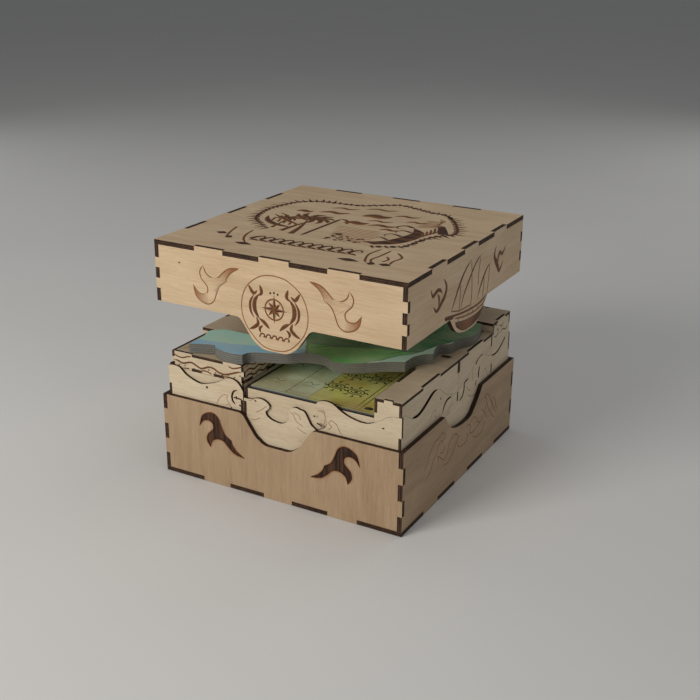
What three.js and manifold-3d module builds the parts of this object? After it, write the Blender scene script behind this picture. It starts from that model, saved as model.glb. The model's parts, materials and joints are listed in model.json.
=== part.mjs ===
// Box insert organizer: a square plywood game box with a lift-off lid, two deep trays, loose boxes that
// stand on the trays, and the printed boards that they hold. Millimetres, +Z up, +X to the right of the
// front, +Y to the rear. The origin is the middle of the base's underside.
import * as THREE from 'three';
import { mergeVertices } from 'three/addons/utils/BufferGeometryUtils.js';
import Module from 'manifold-3d';

const wasm = await Module();
wasm.setup();

// ---- Driving sizes ---------------------------------------------------------------------------------

// Outer shell
const LENGTH = 300;
const DEPTH = 300;
const BASE_HEIGHT = 95;
const LID_HEIGHT = 68;
const LID_RAISE = 110;
const SHELL_PLY = 5;

// Air between pieces
const JOINT_GAP = 0.3;
const SEAT_GAP = 0.3;
const WALL_GAP = 0.5;
const TRAY_GAP = 1;
const BOARD_GAP = 0.7;
const STACK_GAP = 0.15;
const TAB_CLEARANCE = 1.2;

// Shell finger joints
const SHELL_TAB = 36;
const SHELL_TAB_PITCH = 80;
const BASE_FINGER = 18.4;
const LID_FINGER = 11.5;

// Badge tab of the lid's front wall: half widths and drops below the lid's edge
const BADGE_ROOT = 43;
const BADGE_KNEE = 27;
const BADGE_KNEE_DROP = 23;
const BADGE_FOOT = 15;
const BADGE_DROP = 31;
const BADGE_ROUND = 5;

// Ship's hull tab of the lid's right wall: along the wall, and drop
const HULL_PROFILE = [
  [-49, 0], [-42, 9], [-33, 17.5], [-20, 23], [0, 26], [20, 25.5], [31, 19], [41, 10.5], [51, 0],
];

// Burnt wave on the base's front wall: three curves from tip to tip, about the motif's own middle
const WAVE_OFFSET = 71.5;
const WAVE_DEPTH = 1;
const WAVE_MOTIF = [
  [[-29.5, 67], [-26, 79], [-18.5, 84.7], [-10.5, 86], [-3.5, 81.5], [0.5, 72], [5, 63.5],
    [12.8, 58.5]],
  [[12.8, 58.5], [14.4, 53.4], [20, 46.8], [29.5, 41]],
  [[29.5, 41], [17.5, 43], [9.5, 48.5], [2.5, 55], [-5.5, 56], [-12.5, 52], [-15.5, 44]],
  [[-15.5, 44], [-20, 51], [-18.5, 59], [-11.5, 66.5], [-11.5, 73], [-16.5, 76], [-23.5, 74.5],
    [-29.5, 67]],
];

// Trays: their crests stand this far out of the base, and the drops are measured down from the crests
const TRAY_PLY = 3;
const LEFT_TRAY_WIDTH = 99;
const WAVE_STAND = 34.8;
const LEFT_SHELF_DROP = 4.1;
const INNER_WALL_DROP = 7.5;
const BAY_FRONT_DROP = 7.8;
const SLIM_SHELF_DROP = 14.4;
const BAY_FLOOR_PLY = 3;
const TRAY_TAB = 24;
const TRAY_TAB_PITCH = 56;
const TRAY_FINGER = 22;
const DIVIDER_TAB = 10.5;
const DIVIDER_TAB_DROP = 22.8;
const DIVIDER_TAB_PITCH = 62;
const SHELF_TAB_PITCH = 80;

// Compartments
const STRATA_DEPTH = 64.5;
const SLIM_WIDTH = 31;
const SLIM_FRONT_DEPTH = 137.5;
const REAR_BOX_DEPTH = 56.5;

// Loose boxes: the rooms are what each leaves below the shut lid
const STACK_ROOM = 0.55;
const LEFT_BOX_ROOM = 5.5;
const REAR_BOX_ROOM = 1;
const STRATA_LID_TAB = 41;
const STRATA_FLOOR_TAB = 13.5;
const STRATA_FLOOR_TAB_PITCH = 29.5;
const STRATA_SIDE_TAB_INSET = 17;
const STRATA_FINGER = 6;
const LEFT_BOX_FINGER = 15;
const REAR_BOX_FINGER = 14;
const SLIM_LONG_TAB = 42;
const SLIM_SHORT_TAB = 10;

// Printed boards
const PLAYER_BOARD = 2.1;
const PLAYER_BOARDS = 2;
const PLAYER_BOARD_ROUND = 2;
const ISLAND_BOARD = 2.15;
const ISLAND_BOARDS = 5;

// Upper edges of the tray walls: along the wall, and height against the crests
const LEFT_FRONT_WAVE = [
  [0, -0.7], [6, 0], [15, -1.2], [24, -8.7], [41, -14.6], [53, -12.8], [67, -7.6], [80, -0.6],
  [90, -2], [95.5, -7], [99, -12.6],
];
const SIDE_WAVE = [
  [0, 0.6], [7, 0.5], [14, -3.8], [22, -8.6], [34, -12.4], [47, -11.2], [59, -6.8], [74, -0.6],
  [84, 0], [92, -3], [101, -10], [112, -16.5], [124, -20], [134, -21.6], [146, -19.5], [160, -16],
  [174, -10], [188, -3.6], [200, -0.8], [209, -2.4], [220, -7.3], [233, -11.4], [244, -12.8],
  [255, -10.8], [267, -5.3], [276, 0.2], [289, 1.7],
];
const RIGHT_REAR_WAVE = [
  [0, -8], [12, -3], [24, 0], [38, -4], [54, -12], [72, -14], [90, -8], [106, -1], [118, -0.5],
  [134, -7], [152, -13], [170, -8], [189, 0],
];
// The right tray's front wall: two breaking crests, then a tall curl that runs on to the corner
const RIGHT_FRONT_WAVE = [
  [[0, -18.8], [8, -18.6], [17.5, -15.8], [24.5, -16.1], [30.5, -19], [32.5, -22.5], [30.5, -26],
    [27.5, -29], [29, -33.5], [36, -37.4], [46, -38.6], [53, -35.8], [57, -30], [56.5, -23.5],
    [59.5, -18.4], [65, -16], [70, -17.2]],
  [[70, -17.2], [75.5, -18.4], [79.5, -24.5], [83.5, -31.5], [90, -36]],
  [[90, -36], [97, -33], [102.5, -28.6], [103.5, -21], [102, -14], [98.5, -9.2], [92.5, -8.6],
    [88.5, -8]],
  [[88.5, -8], [92, -3.8], [97, -1.2], [103.5, -0.6], [110.5, -2.2], [119, -7.6], [131, -12.6],
    [148.5, -14.8], [163.5, -8.6], [172, -2.7], [180, -0.2], [189, 0.4]],
];

// Slots cut through the tray walls, and along the slim front box's wave: along the wall and height against
// the crests, then the widest point
const RIGHT_WALL_SLOTS = [
  { line: [[121.5, -21.5], [110, -21.2], [102, -26], [98.5, -34]], width: 3 },
  { line: [[167.5, -17], [156, -18.5], [155, -26], [150.5, -33], [142, -35.6]], width: 3 },
  { line: [[197.5, -12], [196, -20], [195.5, -27.5]], width: 3.4 },
  { line: [[188.5, -29], [188, -34]], width: 2.6 },
  { line: [[186, -8], [189.5, -3.6], [197, -0.6], [206, -1.4]], width: 3 },
  { line: [[232.5, -11.6], [242.5, -12.8], [252.5, -12], [264.5, -7.4], [276, -1.4]], width: 4 },
];
const SLIM_WALL_SLOTS = [
  { line: [[24, -8.4], [36.5, -10.8], [49.5, -8], [61.5, -3], [71.5, 0.8], [82.5, 1]], width: 5 },
];
const LEFT_FRONT_SLOTS = [
  { line: [[92, -12], [87.5, -14], [84.5, -20], [85.5, -26], [89, -29.5]], width: 2.6 },
];

// Outline of the island boards, as curves that meet in corners. It is drawn against the trays' walls:
// the left tray's two sides and the right tray's right side, then the trays' front and two boxes' fronts.
const ISLAND_LINES = { x: [-144.5, -45.5, 144.5], y: [-144.5, -80, 88] };
const ISLAND_OUTLINE = [
  [[-117.5, -140], [-104, -134], [-91, -130]],
  [[-91, -130], [-84, -136.5], [-72, -140.4], [-60, -141.4], [-49, -139]],
  [[-49, -139], [-45, -128.5], [-24, -119], [-9, -112.5], [6, -100.5], [24, -96.5], [37, -102.5],
    [44, -108]],
  [[44, -108], [60, -103], [76, -93], [93, -79], [110, -70]],
  [[110, -70], [111, -52], [118, -39.5], [125.5, -34]],
  [[125.5, -34], [121, -20], [120.5, -5], [129.5, 4], [133, 24], [139.5, 36], [140.5, 52], [134, 80]],
  [[134, 80], [96, 85], [56, 80], [16, 84.5], [-22, 78], [-40, 64]],
  [[-40, 64], [-41.5, 20], [-41, -24], [-42.5, -60], [-43.5, -82]],
  [[-43.5, -82], [-76, -83.4], [-108, -82.6]],
  [[-108, -82.6], [-122, -94], [-118, -116], [-117.5, -140]],
];

// ---- Worked-out places -----------------------------------------------------------------------------

const HALF_LENGTH = LENGTH / 2;
const HALF_DEPTH = DEPTH / 2;
const LID_BOTTOM = BASE_HEIGHT + LID_RAISE;
const TRAY_LEFT = -HALF_LENGTH + SHELL_PLY + WALL_GAP;
const TRAY_RIGHT = -TRAY_LEFT;
const TRAY_FRONT = -HALF_DEPTH + SHELL_PLY + WALL_GAP;
const TRAY_REAR = -TRAY_FRONT;
const TRAY_BOTTOM = SHELL_PLY + SEAT_GAP;
const TRAY_FLOOR_TOP = TRAY_BOTTOM + TRAY_PLY;
const WAVE_TOP = BASE_HEIGHT + WAVE_STAND;
const LEFT_SHELF = WAVE_TOP - LEFT_SHELF_DROP;
const INNER_WALL_TOP = WAVE_TOP - INNER_WALL_DROP;
const SLIM_SHELF = WAVE_TOP - SLIM_SHELF_DROP;
const DIVIDER_TAB_TOP = WAVE_TOP - DIVIDER_TAB_DROP;
const LEFT_TRAY_RIGHT = TRAY_LEFT + LEFT_TRAY_WIDTH;
const RIGHT_TRAY_LEFT = LEFT_TRAY_RIGHT + TRAY_GAP;
const SLIM_LEFT = TRAY_RIGHT - SLIM_WIDTH;
const STRATA_REAR = TRAY_FRONT + STRATA_DEPTH;
const SLIM_SPLIT = TRAY_FRONT + SLIM_FRONT_DEPTH;
const REAR_BOX_FRONT = TRAY_REAR - REAR_BOX_DEPTH;
const LINER_REAR = TRAY_FRONT + 2 * TRAY_PLY + JOINT_GAP;
const BAY_FLOOR_BOTTOM = SLIM_SHELF + SEAT_GAP;
const BAY_FLOOR_TOP = BAY_FLOOR_BOTTOM + BAY_FLOOR_PLY;
const SHUT_CEILING = BASE_HEIGHT + LID_HEIGHT - SHELL_PLY;
const ISLAND_STACK = ISLAND_BOARDS * (ISLAND_BOARD + STACK_GAP) - STACK_GAP;
const ISLAND_BOTTOM = SHUT_CEILING - STACK_ROOM - ISLAND_STACK;
const SLIM_BOX_TOP = ISLAND_BOTTOM - SEAT_GAP;
const LEFT_BOX_TOP = SHUT_CEILING - LEFT_BOX_ROOM;
const REAR_BOX_TOP = SHUT_CEILING - REAR_BOX_ROOM;
const OVERCUT = 1;

// ---- Outlines --------------------------------------------------------------------------------------

/** Rectangle between two corners, counter-clockwise. */
function rect(u0, v0, u1, v1) {
  return [[u0, v0], [u1, v0], [u1, v1], [u0, v1]];
}

/** Smooth line through a few chosen points, with `steps` straight pieces between each two. */
function smooth(points, steps = 4) {
  const curve = new THREE.SplineCurve(points.map(([u, v]) => new THREE.Vector2(u, v)));
  return curve.getPoints((points.length - 1) * steps).map((point) => [point.x, point.y]);
}

/** Smooth lines joined end to end; each one starts where the last one stopped. */
function chain(lines, steps = 4) {
  return lines.flatMap((line, i) => smooth(line, steps).slice(i === 0 ? 0 : 1));
}

/** The same, closed: the last point is the first one again, so it is left out. */
function loop(lines, steps = 4) {
  return chain(lines, steps).slice(0, -1);
}

/** Line with each inner corner rounded off by a curve that starts `reach` before it. */
function rounded(points, reach, steps = 5) {
  const vectors = points.map(([u, v]) => new THREE.Vector2(u, v));
  const inner = vectors.slice(1, -1).flatMap((corner, i) => {
    const start = corner.clone().add(vectors[i].clone().sub(corner).setLength(reach));
    const end = corner.clone().add(vectors[i + 2].clone().sub(corner).setLength(reach));
    return new THREE.QuadraticBezierCurve(start, corner, end).getPoints(steps);
  });
  return [vectors[0], ...inner, vectors.at(-1)].map((point) => [point.x, point.y]);
}

/** Wave given from its own zero, stretched to run from `from` to `to`, with heights above `level`. */
function fitted(points, from, to, level) {
  const scale = (to - from) / points.at(-1)[0];
  return points.map(([u, v]) => [from + u * scale, level + v]);
}

/** Part of a line between two places along it, with new ends exactly there. */
function part(line, from, to) {
  const at = (u) => {
    const i = Math.max(1, line.findIndex((point) => point[0] >= u));
    const share = (u - line[i - 1][0]) / (line[i][0] - line[i - 1][0]);
    return [u, line[i - 1][1] + share * (line[i][1] - line[i - 1][1])];
  };
  return [at(from), ...line.filter((point) => point[0] > from && point[0] < to), at(to)];
}

/** Line moved up. */
function raised(line, by) {
  return line.map(([u, v]) => [u, v + by]);
}

/** Thin leaf along a smooth line: full width in the middle, a point at both ends. */
function leaf(points, width, steps = 3) {
  const curve = new THREE.SplineCurve(points.map(([u, v]) => new THREE.Vector2(u, v)));
  const count = (points.length - 1) * steps;
  const side = (sign) => Array.from({ length: count - 1 }, (_, i) => {
    const share = (i + 1) / count;
    const along = curve.getTangent(share);
    const half = sign * (width / 2) * Math.sqrt(Math.sin(Math.PI * share));
    const middle = curve.getPoint(share);
    return [middle.x - along.y * half, middle.y + along.x * half];
  });
  return [points[0], ...side(-1), points.at(-1), ...side(1).reverse()];
}

/** Evenly spaced spans: `count` of them, each `width` long, `pitch` apart, about `middle`. */
function spans(middle, count, width, pitch = 0) {
  return Array.from({ length: count }, (_, i) => {
    const at = middle + (i - (count - 1) / 2) * pitch;
    return [at - width / 2, at + width / 2];
  });
}

/** How many spans of a pitch fit on a length, with half a pitch left at each end. */
function fitCount(length, pitch) {
  return Math.max(1, Math.round(length / pitch - 0.4));
}

/** What is left between the spans, run past both ends so that a cut goes right through. */
function between(list, from, to) {
  const starts = [from - OVERCUT, ...list.map((span) => span[1])];
  const ends = [...list.map((span) => span[0]), to + OVERCUT];
  return starts.map((start, i) => [start, ends[i]]).filter(([start, end]) => end > start);
}

// ---- Solids ----------------------------------------------------------------------------------------

/** Closed body of an outline, from one height to another. */
function prism(outline, low, high) {
  const shape = new THREE.Shape(outline.map(([u, v]) => new THREE.Vector2(u, v)));
  const extruded = new THREE.ExtrudeGeometry(shape, { depth: high - low, bevelEnabled: false });
  extruded.translate(0, 0, low);
  extruded.deleteAttribute('normal');
  extruded.deleteAttribute('uv');
  const merged = mergeVertices(extruded);
  return new wasm.Manifold(new wasm.Mesh({
    numProp: 3,
    vertProperties: new Float32Array(merged.attributes.position.array),
    triVerts: new Uint32Array(merged.index.array),
  }));
}

/** Sheet of an outline with through cuts, and pockets sunk into its +w face. */
function sheet({ outline, thick, cuts = [], pockets = [], pocketDepth = 0 }) {
  let solid = prism(outline, 0, thick);
  for (const cut of cuts) {
    solid = solid.subtract(prism(cut, -OVERCUT, thick + OVERCUT));
  }
  for (const pocket of pockets) {
    solid = solid.subtract(prism(pocket, thick - pocketDepth, thick + OVERCUT));
  }
  const { vertProperties, triVerts } = solid.getMesh();
  const geometry = new THREE.BufferGeometry();
  geometry.setAttribute('position', new THREE.BufferAttribute(vertProperties, 3));
  geometry.setIndex(new THREE.BufferAttribute(triVerts, 1));
  return geometry;
}

const FINISHES = {
  lid: { color: '#d9b98f', roughness: 0.62 },
  base: { color: '#a98560', roughness: 0.66 },
  insert: { color: '#d6bd97', roughness: 0.64 },
  board: { color: '#b7c98a', roughness: 0.5 },
  island: { color: '#63b8a4', roughness: 0.5 },
};

/** How a sheet drawn in its own plane (u, v) with its thickness along w stands in the box. */
const STANCES = {
  flat: new THREE.Euler(0, 0, 0),
  front: new THREE.Euler(Math.PI / 2, 0, 0),
  side: new THREE.Euler(Math.PI / 2, 0, Math.PI / 2, 'ZYX'),
};

/** Named sheet. `at` is the place of its w = 0 face along Z, Y or X for flat, front and side. */
function panel(name, finish, stance, at, shape) {
  const mesh = new THREE.Mesh(sheet(shape), new THREE.MeshStandardMaterial({ ...FINISHES[finish] }));
  mesh.name = name;
  mesh.rotation.copy(STANCES[stance]);
  mesh.position.set(stance === 'side' ? at : 0, stance === 'front' ? at : 0, stance === 'flat' ? at : 0);
  return mesh;
}

// ---- Boxes of finger-jointed sheets ----------------------------------------------------------------

/**
 * A plate and four walls. `plate` is 'floor' or 'top'. `tabs.x` and `tabs.y` are the spans where the
 * front and rear walls, and the side walls, pass through the plate. `corner.front` and `corner.rear` are
 * the heights at which those walls run out to the corner; the side walls run out at the others.
 * `edges` shapes the walls' free edges, from low to high along each wall.
 */
function box({ name, finish, thick, x, y, z, plate, tabs, corner, edges = {}, extras = {} }) {
  const [x0, x1] = x;
  const [y0, y1] = y;
  const [z0, z1] = z;
  const deep = thick + JOINT_GAP;
  const half = JOINT_GAP / 2;
  const plateBottom = plate === 'floor' ? z0 : z1 - thick;
  const plateCut = plate === 'floor' ? [z0 - OVERCUT, z0 + deep] : [z1 - deep, z1 + OVERCUT];
  const span = ([low, high]) => [low - half, high + half];

  const wall = (side, u0, u1, fingers, plateSpans) => {
    const edge = edges[side] ?? [[u0, plate === 'floor' ? z1 : z0], [u1, plate === 'floor' ? z1 : z0]];
    const far = plate === 'floor' ? [[u0, z0], [u1, z0]] : [[u0, z1], [u1, z1]];
    const outline = plate === 'floor' ? [...far, ...edge.toReversed()] : [...edge, ...far.toReversed()];
    const cuts = [
      ...between(plateSpans, u0, u1).map(span).map(([a, b]) => rect(a, plateCut[0], b, plateCut[1])),
      ...fingers[0].map(span).map(([a, b]) => rect(u0 - OVERCUT, a, u0 + deep, b)),
      ...fingers[1].map(span).map(([a, b]) => rect(u1 - deep, a, u1 + OVERCUT, b)),
      ...(extras[side]?.cuts ?? []),
    ];
    return { outline, thick, ...extras[side], cuts };
  };

  const sideOwn = { front: between(corner.front, z0, z1), rear: between(corner.rear, z0, z1) };
  const acrossWall = (side) => wall(side, x0, x1, [sideOwn[side], sideOwn[side]], tabs.x);
  const alongWall = (side) => wall(side, y0, y1, [corner.front, corner.rear], tabs.y);
  const plateShape = {
    outline: rect(x0, y0, x1, y1),
    thick,
    cuts: [
      ...tabs.x.map(span).flatMap(([a, b]) => [
        rect(a, y0 - OVERCUT, b, y0 + deep),
        rect(a, y1 - deep, b, y1 + OVERCUT),
      ]),
      ...tabs.y.map(span).flatMap(([a, b]) => [
        rect(x0 - OVERCUT, a, x0 + deep, b),
        rect(x1 - deep, a, x1 + OVERCUT, b),
      ]),
    ],
  };

  const group = new THREE.Group();
  group.add(
    panel(`${name}_${plate}`, finish, 'flat', plateBottom, plateShape),
    panel(`${name}_front_wall`, finish, 'front', y0 + thick, acrossWall('front')),
    panel(`${name}_rear_wall`, finish, 'front', y1, acrossWall('rear')),
    panel(`${name}_left_wall`, finish, 'side', x0, alongWall('left')),
    panel(`${name}_right_wall`, finish, 'side', x1 - thick, alongWall('right')),
  );
  return group;
}

/** Upright sheet across the box at `y`, whose tabs run out through the walls at both ends. */
function divider(name, y, x, z, tabs) {
  const deep = TRAY_PLY + JOINT_GAP;
  const cuts = between(tabs, z[0], z[1]).flatMap(([a, b]) => [
    rect(x[0] - OVERCUT, a, x[0] + deep, b),
    rect(x[1] - deep, a, x[1] + OVERCUT, b),
  ]);
  const shape = { outline: rect(x[0], z[0], x[1], z[1]), thick: TRAY_PLY, cuts };
  return panel(name, 'insert', 'front', y + TRAY_PLY, shape);
}

/** Slots in a side wall for the tabs of a divider at `y`. */
function dividerSlots(y, tabs) {
  const half = JOINT_GAP / 2;
  return tabs.map(([low, high]) => rect(y - half, low - half, y + TRAY_PLY + half, high + half));
}

// ---- Base and lid ----------------------------------------------------------------------------------

/** Badge tab's edge below `level`, made larger all round by `grow`. */
function badgeEdge(level, grow) {
  const half = [
    [BADGE_ROOT + grow, 0],
    [BADGE_KNEE + grow, BADGE_KNEE_DROP + grow / 2],
    [BADGE_FOOT + grow, BADGE_DROP + grow],
  ];
  const left = half.map(([u, drop]) => [-u, level - drop]);
  const right = half.map(([u, drop]) => [u, level - drop]).reverse();
  return rounded([[-HALF_LENGTH, level], ...left, ...right, [HALF_LENGTH, level]], BADGE_ROUND);
}

/** Hull tab's edge below `level`, made larger all round by `grow`. */
function hullEdge(level, grow) {
  const reach = Math.max(...HULL_PROFILE.map(([u]) => u));
  const drop = Math.max(...HULL_PROFILE.map(([, v]) => v));
  const line = HULL_PROFILE.map(([u, v]) => [u * (1 + grow / reach), level - v * (1 + grow / drop)]);
  return [[-HALF_DEPTH, level], ...smooth(line, 3), [HALF_DEPTH, level]];
}

/** Burnt wave pocket; the right-hand one is the mirror image of the left. */
function wavePocket(sign) {
  const turned = WAVE_MOTIF.map((line) => line.map(([u, v]) => [sign * (WAVE_OFFSET - u), v]));
  return loop(turned);
}

const shellTabs = {
  x: spans(0, 3, SHELL_TAB, SHELL_TAB_PITCH),
  y: spans(0, 3, SHELL_TAB, SHELL_TAB_PITCH),
};

function makeBase() {
  const fingers = spans((BASE_HEIGHT + SHELL_PLY) / 2, 2, BASE_FINGER, 2 * BASE_FINGER);
  return box({
    name: 'base',
    finish: 'base',
    thick: SHELL_PLY,
    x: [-HALF_LENGTH, HALF_LENGTH],
    y: [-HALF_DEPTH, HALF_DEPTH],
    z: [0, BASE_HEIGHT],
    plate: 'floor',
    tabs: shellTabs,
    corner: { front: fingers, rear: fingers },
    edges: {
      front: badgeEdge(BASE_HEIGHT, TAB_CLEARANCE),
      right: hullEdge(BASE_HEIGHT, TAB_CLEARANCE),
    },
    extras: { front: { pockets: [wavePocket(-1), wavePocket(1)], pocketDepth: WAVE_DEPTH } },
  });
}

function makeLid() {
  const fingers = spans((LID_HEIGHT - SHELL_PLY) / 2, 2, LID_FINGER, 2 * LID_FINGER);
  const lid = box({
    name: 'lid',
    finish: 'lid',
    thick: SHELL_PLY,
    x: [-HALF_LENGTH, HALF_LENGTH],
    y: [-HALF_DEPTH, HALF_DEPTH],
    z: [0, LID_HEIGHT],
    plate: 'top',
    tabs: shellTabs,
    corner: { front: fingers, rear: fingers },
    edges: { front: badgeEdge(0, 0), right: hullEdge(0, 0) },
  });
  lid.position.z = LID_BOTTOM;
  return lid;
}

// ---- Trays -----------------------------------------------------------------------------------------

/** Heights of a tray's front and rear walls at its corners; the top one runs past the wave. */
function trayFingers() {
  const top = WAVE_TOP - TRAY_FINGER - JOINT_GAP;
  const lower = fitCount(top - TRAY_FLOOR_TOP, 2 * TRAY_FINGER);
  const rest = Array.from({ length: lower }, (_, i) => {
    const low = top - 2 * TRAY_FINGER * (lower - i);
    return [low, low + TRAY_FINGER];
  });
  return [...rest, [top, WAVE_TOP + TRAY_FINGER]];
}

const dividerTabs = spans(
  DIVIDER_TAB_TOP - (DIVIDER_TAB + DIVIDER_TAB_PITCH) / 2, 2, DIVIDER_TAB, DIVIDER_TAB_PITCH);
const leftFrontWave = smooth(fitted(LEFT_FRONT_WAVE, TRAY_LEFT, LEFT_TRAY_RIGHT, WAVE_TOP));
const sideWave = smooth(fitted(SIDE_WAVE, TRAY_FRONT, TRAY_REAR, WAVE_TOP), 3);
const rightRearWave = smooth(fitted(RIGHT_REAR_WAVE, RIGHT_TRAY_LEFT, TRAY_RIGHT, WAVE_TOP), 3);

/** The right tray's front wave, stretched to the wall as one line. */
function rightFrontWave() {
  const scale = (TRAY_RIGHT - RIGHT_TRAY_LEFT) / RIGHT_FRONT_WAVE.at(-1).at(-1)[0];
  return chain(RIGHT_FRONT_WAVE.map((line) => (
    line.map(([u, v]) => [RIGHT_TRAY_LEFT + u * scale, WAVE_TOP + v]))), 3);
}

/** Curl slots of a wall, stretched along it with the wave that they belong to. */
function curlSlots(slots, from, to, wave) {
  const scale = (to - from) / wave.at(-1)[0];
  return slots.map(({ line, width }) => leaf(line.map(([u, v]) => [from + u * scale, WAVE_TOP + v]), width));
}

function makeLeftTray() {
  const x = [TRAY_LEFT, LEFT_TRAY_RIGHT];
  const strataSlots = dividerSlots(STRATA_REAR, dividerTabs);
  const tray = box({
    name: 'left_tray',
    finish: 'insert',
    thick: TRAY_PLY,
    x,
    y: [TRAY_FRONT, TRAY_REAR],
    z: [TRAY_BOTTOM, LEFT_SHELF],
    plate: 'floor',
    tabs: {
      x: spans((x[0] + x[1]) / 2, fitCount(x[1] - x[0], TRAY_TAB_PITCH), TRAY_TAB, TRAY_TAB_PITCH),
      y: spans(0, fitCount(2 * TRAY_REAR, TRAY_TAB_PITCH), TRAY_TAB, TRAY_TAB_PITCH),
    },
    corner: { front: trayFingers(), rear: trayFingers() },
    edges: { front: leftFrontWave, rear: leftFrontWave, left: sideWave },
    extras: {
      front: { cuts: curlSlots(LEFT_FRONT_SLOTS, x[0], x[1], LEFT_FRONT_WAVE) },
      left: { cuts: strataSlots },
      right: { cuts: strataSlots },
    },
  });
  const inside = TRAY_PLY + JOINT_GAP;
  const liner = rect(x[0] + inside, TRAY_FLOOR_TOP + JOINT_GAP, x[1] - inside, LEFT_SHELF);
  tray.add(panel('left_tray_front_liner', 'insert', 'front', LINER_REAR, { outline: liner, thick: TRAY_PLY }));
  tray.add(divider('left_tray_divider', STRATA_REAR, x, [TRAY_FLOOR_TOP + JOINT_GAP, LEFT_SHELF], dividerTabs));
  return tray;
}

/** Shelf under the player boards, with tabs that run out through the tray's left wall. */
function makeBayFloor(shelfTabs) {
  const deep = TRAY_PLY + JOINT_GAP;
  const cuts = between(shelfTabs, LINER_REAR, REAR_BOX_FRONT).map(([a, b]) => (
    rect(RIGHT_TRAY_LEFT - OVERCUT, a, RIGHT_TRAY_LEFT + deep, b)));
  const outline = rect(
    RIGHT_TRAY_LEFT, LINER_REAR + JOINT_GAP, SLIM_LEFT - JOINT_GAP, REAR_BOX_FRONT - JOINT_GAP);
  return panel('board_bay_floor', 'insert', 'flat', BAY_FLOOR_BOTTOM, { outline, thick: BAY_FLOOR_PLY, cuts });
}

function makeRightTray() {
  const x = [RIGHT_TRAY_LEFT, TRAY_RIGHT];
  const inside = TRAY_PLY + JOINT_GAP;
  const bottom = TRAY_FLOOR_TOP + JOINT_GAP;
  const half = JOINT_GAP / 2;
  const partition = SLIM_LEFT - TRAY_PLY / 2;
  const bayLength = REAR_BOX_FRONT - LINER_REAR;
  const shelfCount = fitCount(bayLength, SHELF_TAB_PITCH);
  const shelfTabs = spans((REAR_BOX_FRONT + LINER_REAR) / 2, shelfCount, TRAY_TAB, SHELF_TAB_PITCH);
  const shelfSlots = shelfTabs.map(([a, b]) => (
    rect(a - half, BAY_FLOOR_BOTTOM - half, b + half, BAY_FLOOR_TOP + half)));
  const tray = box({
    name: 'right_tray',
    finish: 'insert',
    thick: TRAY_PLY,
    x,
    y: [TRAY_FRONT, TRAY_REAR],
    z: [TRAY_BOTTOM, INNER_WALL_TOP],
    plate: 'floor',
    tabs: {
      x: spans((x[0] + x[1]) / 2, fitCount(x[1] - x[0], TRAY_TAB_PITCH), TRAY_TAB, TRAY_TAB_PITCH),
      y: spans(0, fitCount(2 * TRAY_REAR, TRAY_TAB_PITCH), TRAY_TAB, TRAY_TAB_PITCH),
    },
    corner: { front: trayFingers(), rear: trayFingers() },
    edges: { front: rightFrontWave(), rear: rightRearWave, right: sideWave },
    extras: {
      left: { cuts: [...shelfSlots, ...dividerSlots(REAR_BOX_FRONT, dividerTabs)] },
      right: {
        cuts: [
          ...curlSlots(RIGHT_WALL_SLOTS, TRAY_FRONT, TRAY_REAR, SIDE_WAVE),
          ...dividerSlots(REAR_BOX_FRONT, dividerTabs),
          ...dividerSlots(SLIM_SPLIT - TRAY_PLY / 2, dividerTabs),
        ],
      },
    },
  });
  const liner = rect(x[0] + inside, bottom, partition - JOINT_GAP, WAVE_TOP - BAY_FRONT_DROP);
  tray.add(panel('board_bay_front_wall', 'insert', 'front', LINER_REAR, { outline: liner, thick: TRAY_PLY }));
  tray.add(makeBayFloor(shelfTabs));
  const long = rect(TRAY_FRONT + inside, bottom, REAR_BOX_FRONT - JOINT_GAP, SLIM_SHELF);
  tray.add(panel('slim_partition', 'insert', 'side', partition, {
    outline: long,
    thick: TRAY_PLY,
    cuts: dividerSlots(SLIM_SPLIT - TRAY_PLY / 2, dividerTabs),
  }));
  tray.add(divider('rear_divider', REAR_BOX_FRONT, x, [bottom, SLIM_SHELF], dividerTabs));
  const slim = [partition, x[1]];
  tray.add(divider('slim_divider', SLIM_SPLIT - TRAY_PLY / 2, slim, [bottom, DIVIDER_TAB_TOP], dividerTabs));
  return tray;
}

// ---- Loose boxes -----------------------------------------------------------------------------------

/** Closed box with a lid that drops in, above the left tray's front compartment. */
function makeStrataBox() {
  const inset = TRAY_PLY + JOINT_GAP;
  const x = [TRAY_LEFT + inset, LEFT_TRAY_RIGHT - JOINT_GAP * 2];
  const y = [TRAY_FRONT + inset, STRATA_REAR];
  const bottom = LEFT_SHELF + SEAT_GAP;
  const top = SLIM_BOX_TOP;
  const middle = (x[0] + x[1]) / 2;
  const floorTabs = spans(middle, 2, STRATA_FLOOR_TAB, STRATA_FLOOR_TAB_PITCH);
  const lidTab = spans(middle, 1, STRATA_LID_TAB);
  const half = JOINT_GAP / 2;
  const notch = rect(lidTab[0][0] - half, top - TRAY_PLY - SEAT_GAP, lidTab[0][1] + half, top + OVERCUT);
  const fingers = spans((bottom + top) / 2, 1, STRATA_FINGER);
  const sideTabs = [[y[0] + STRATA_SIDE_TAB_INSET, y[1] - STRATA_SIDE_TAB_INSET]];
  const strata = box({
    name: 'strata_box',
    finish: 'insert',
    thick: TRAY_PLY,
    x,
    y,
    z: [bottom, top],
    plate: 'floor',
    tabs: { x: between(floorTabs, x[0], x[1]), y: sideTabs },
    corner: { front: fingers, rear: fingers },
    extras: { front: { cuts: [notch] }, rear: { cuts: [notch] } },
  });
  const lidCuts = between(lidTab, x[0], x[1]).flatMap(([a, b]) => [
    rect(a, y[0] - OVERCUT, b, y[0] + inset),
    rect(a, y[1] - inset, b, y[1] + OVERCUT),
  ]);
  const lid = { outline: rect(x[0] + inset, y[0], x[1] - inset, y[1]), thick: TRAY_PLY, cuts: lidCuts };
  strata.add(panel('strata_box_lid', 'insert', 'flat', top - TRAY_PLY, lid));
  return strata;
}

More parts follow.
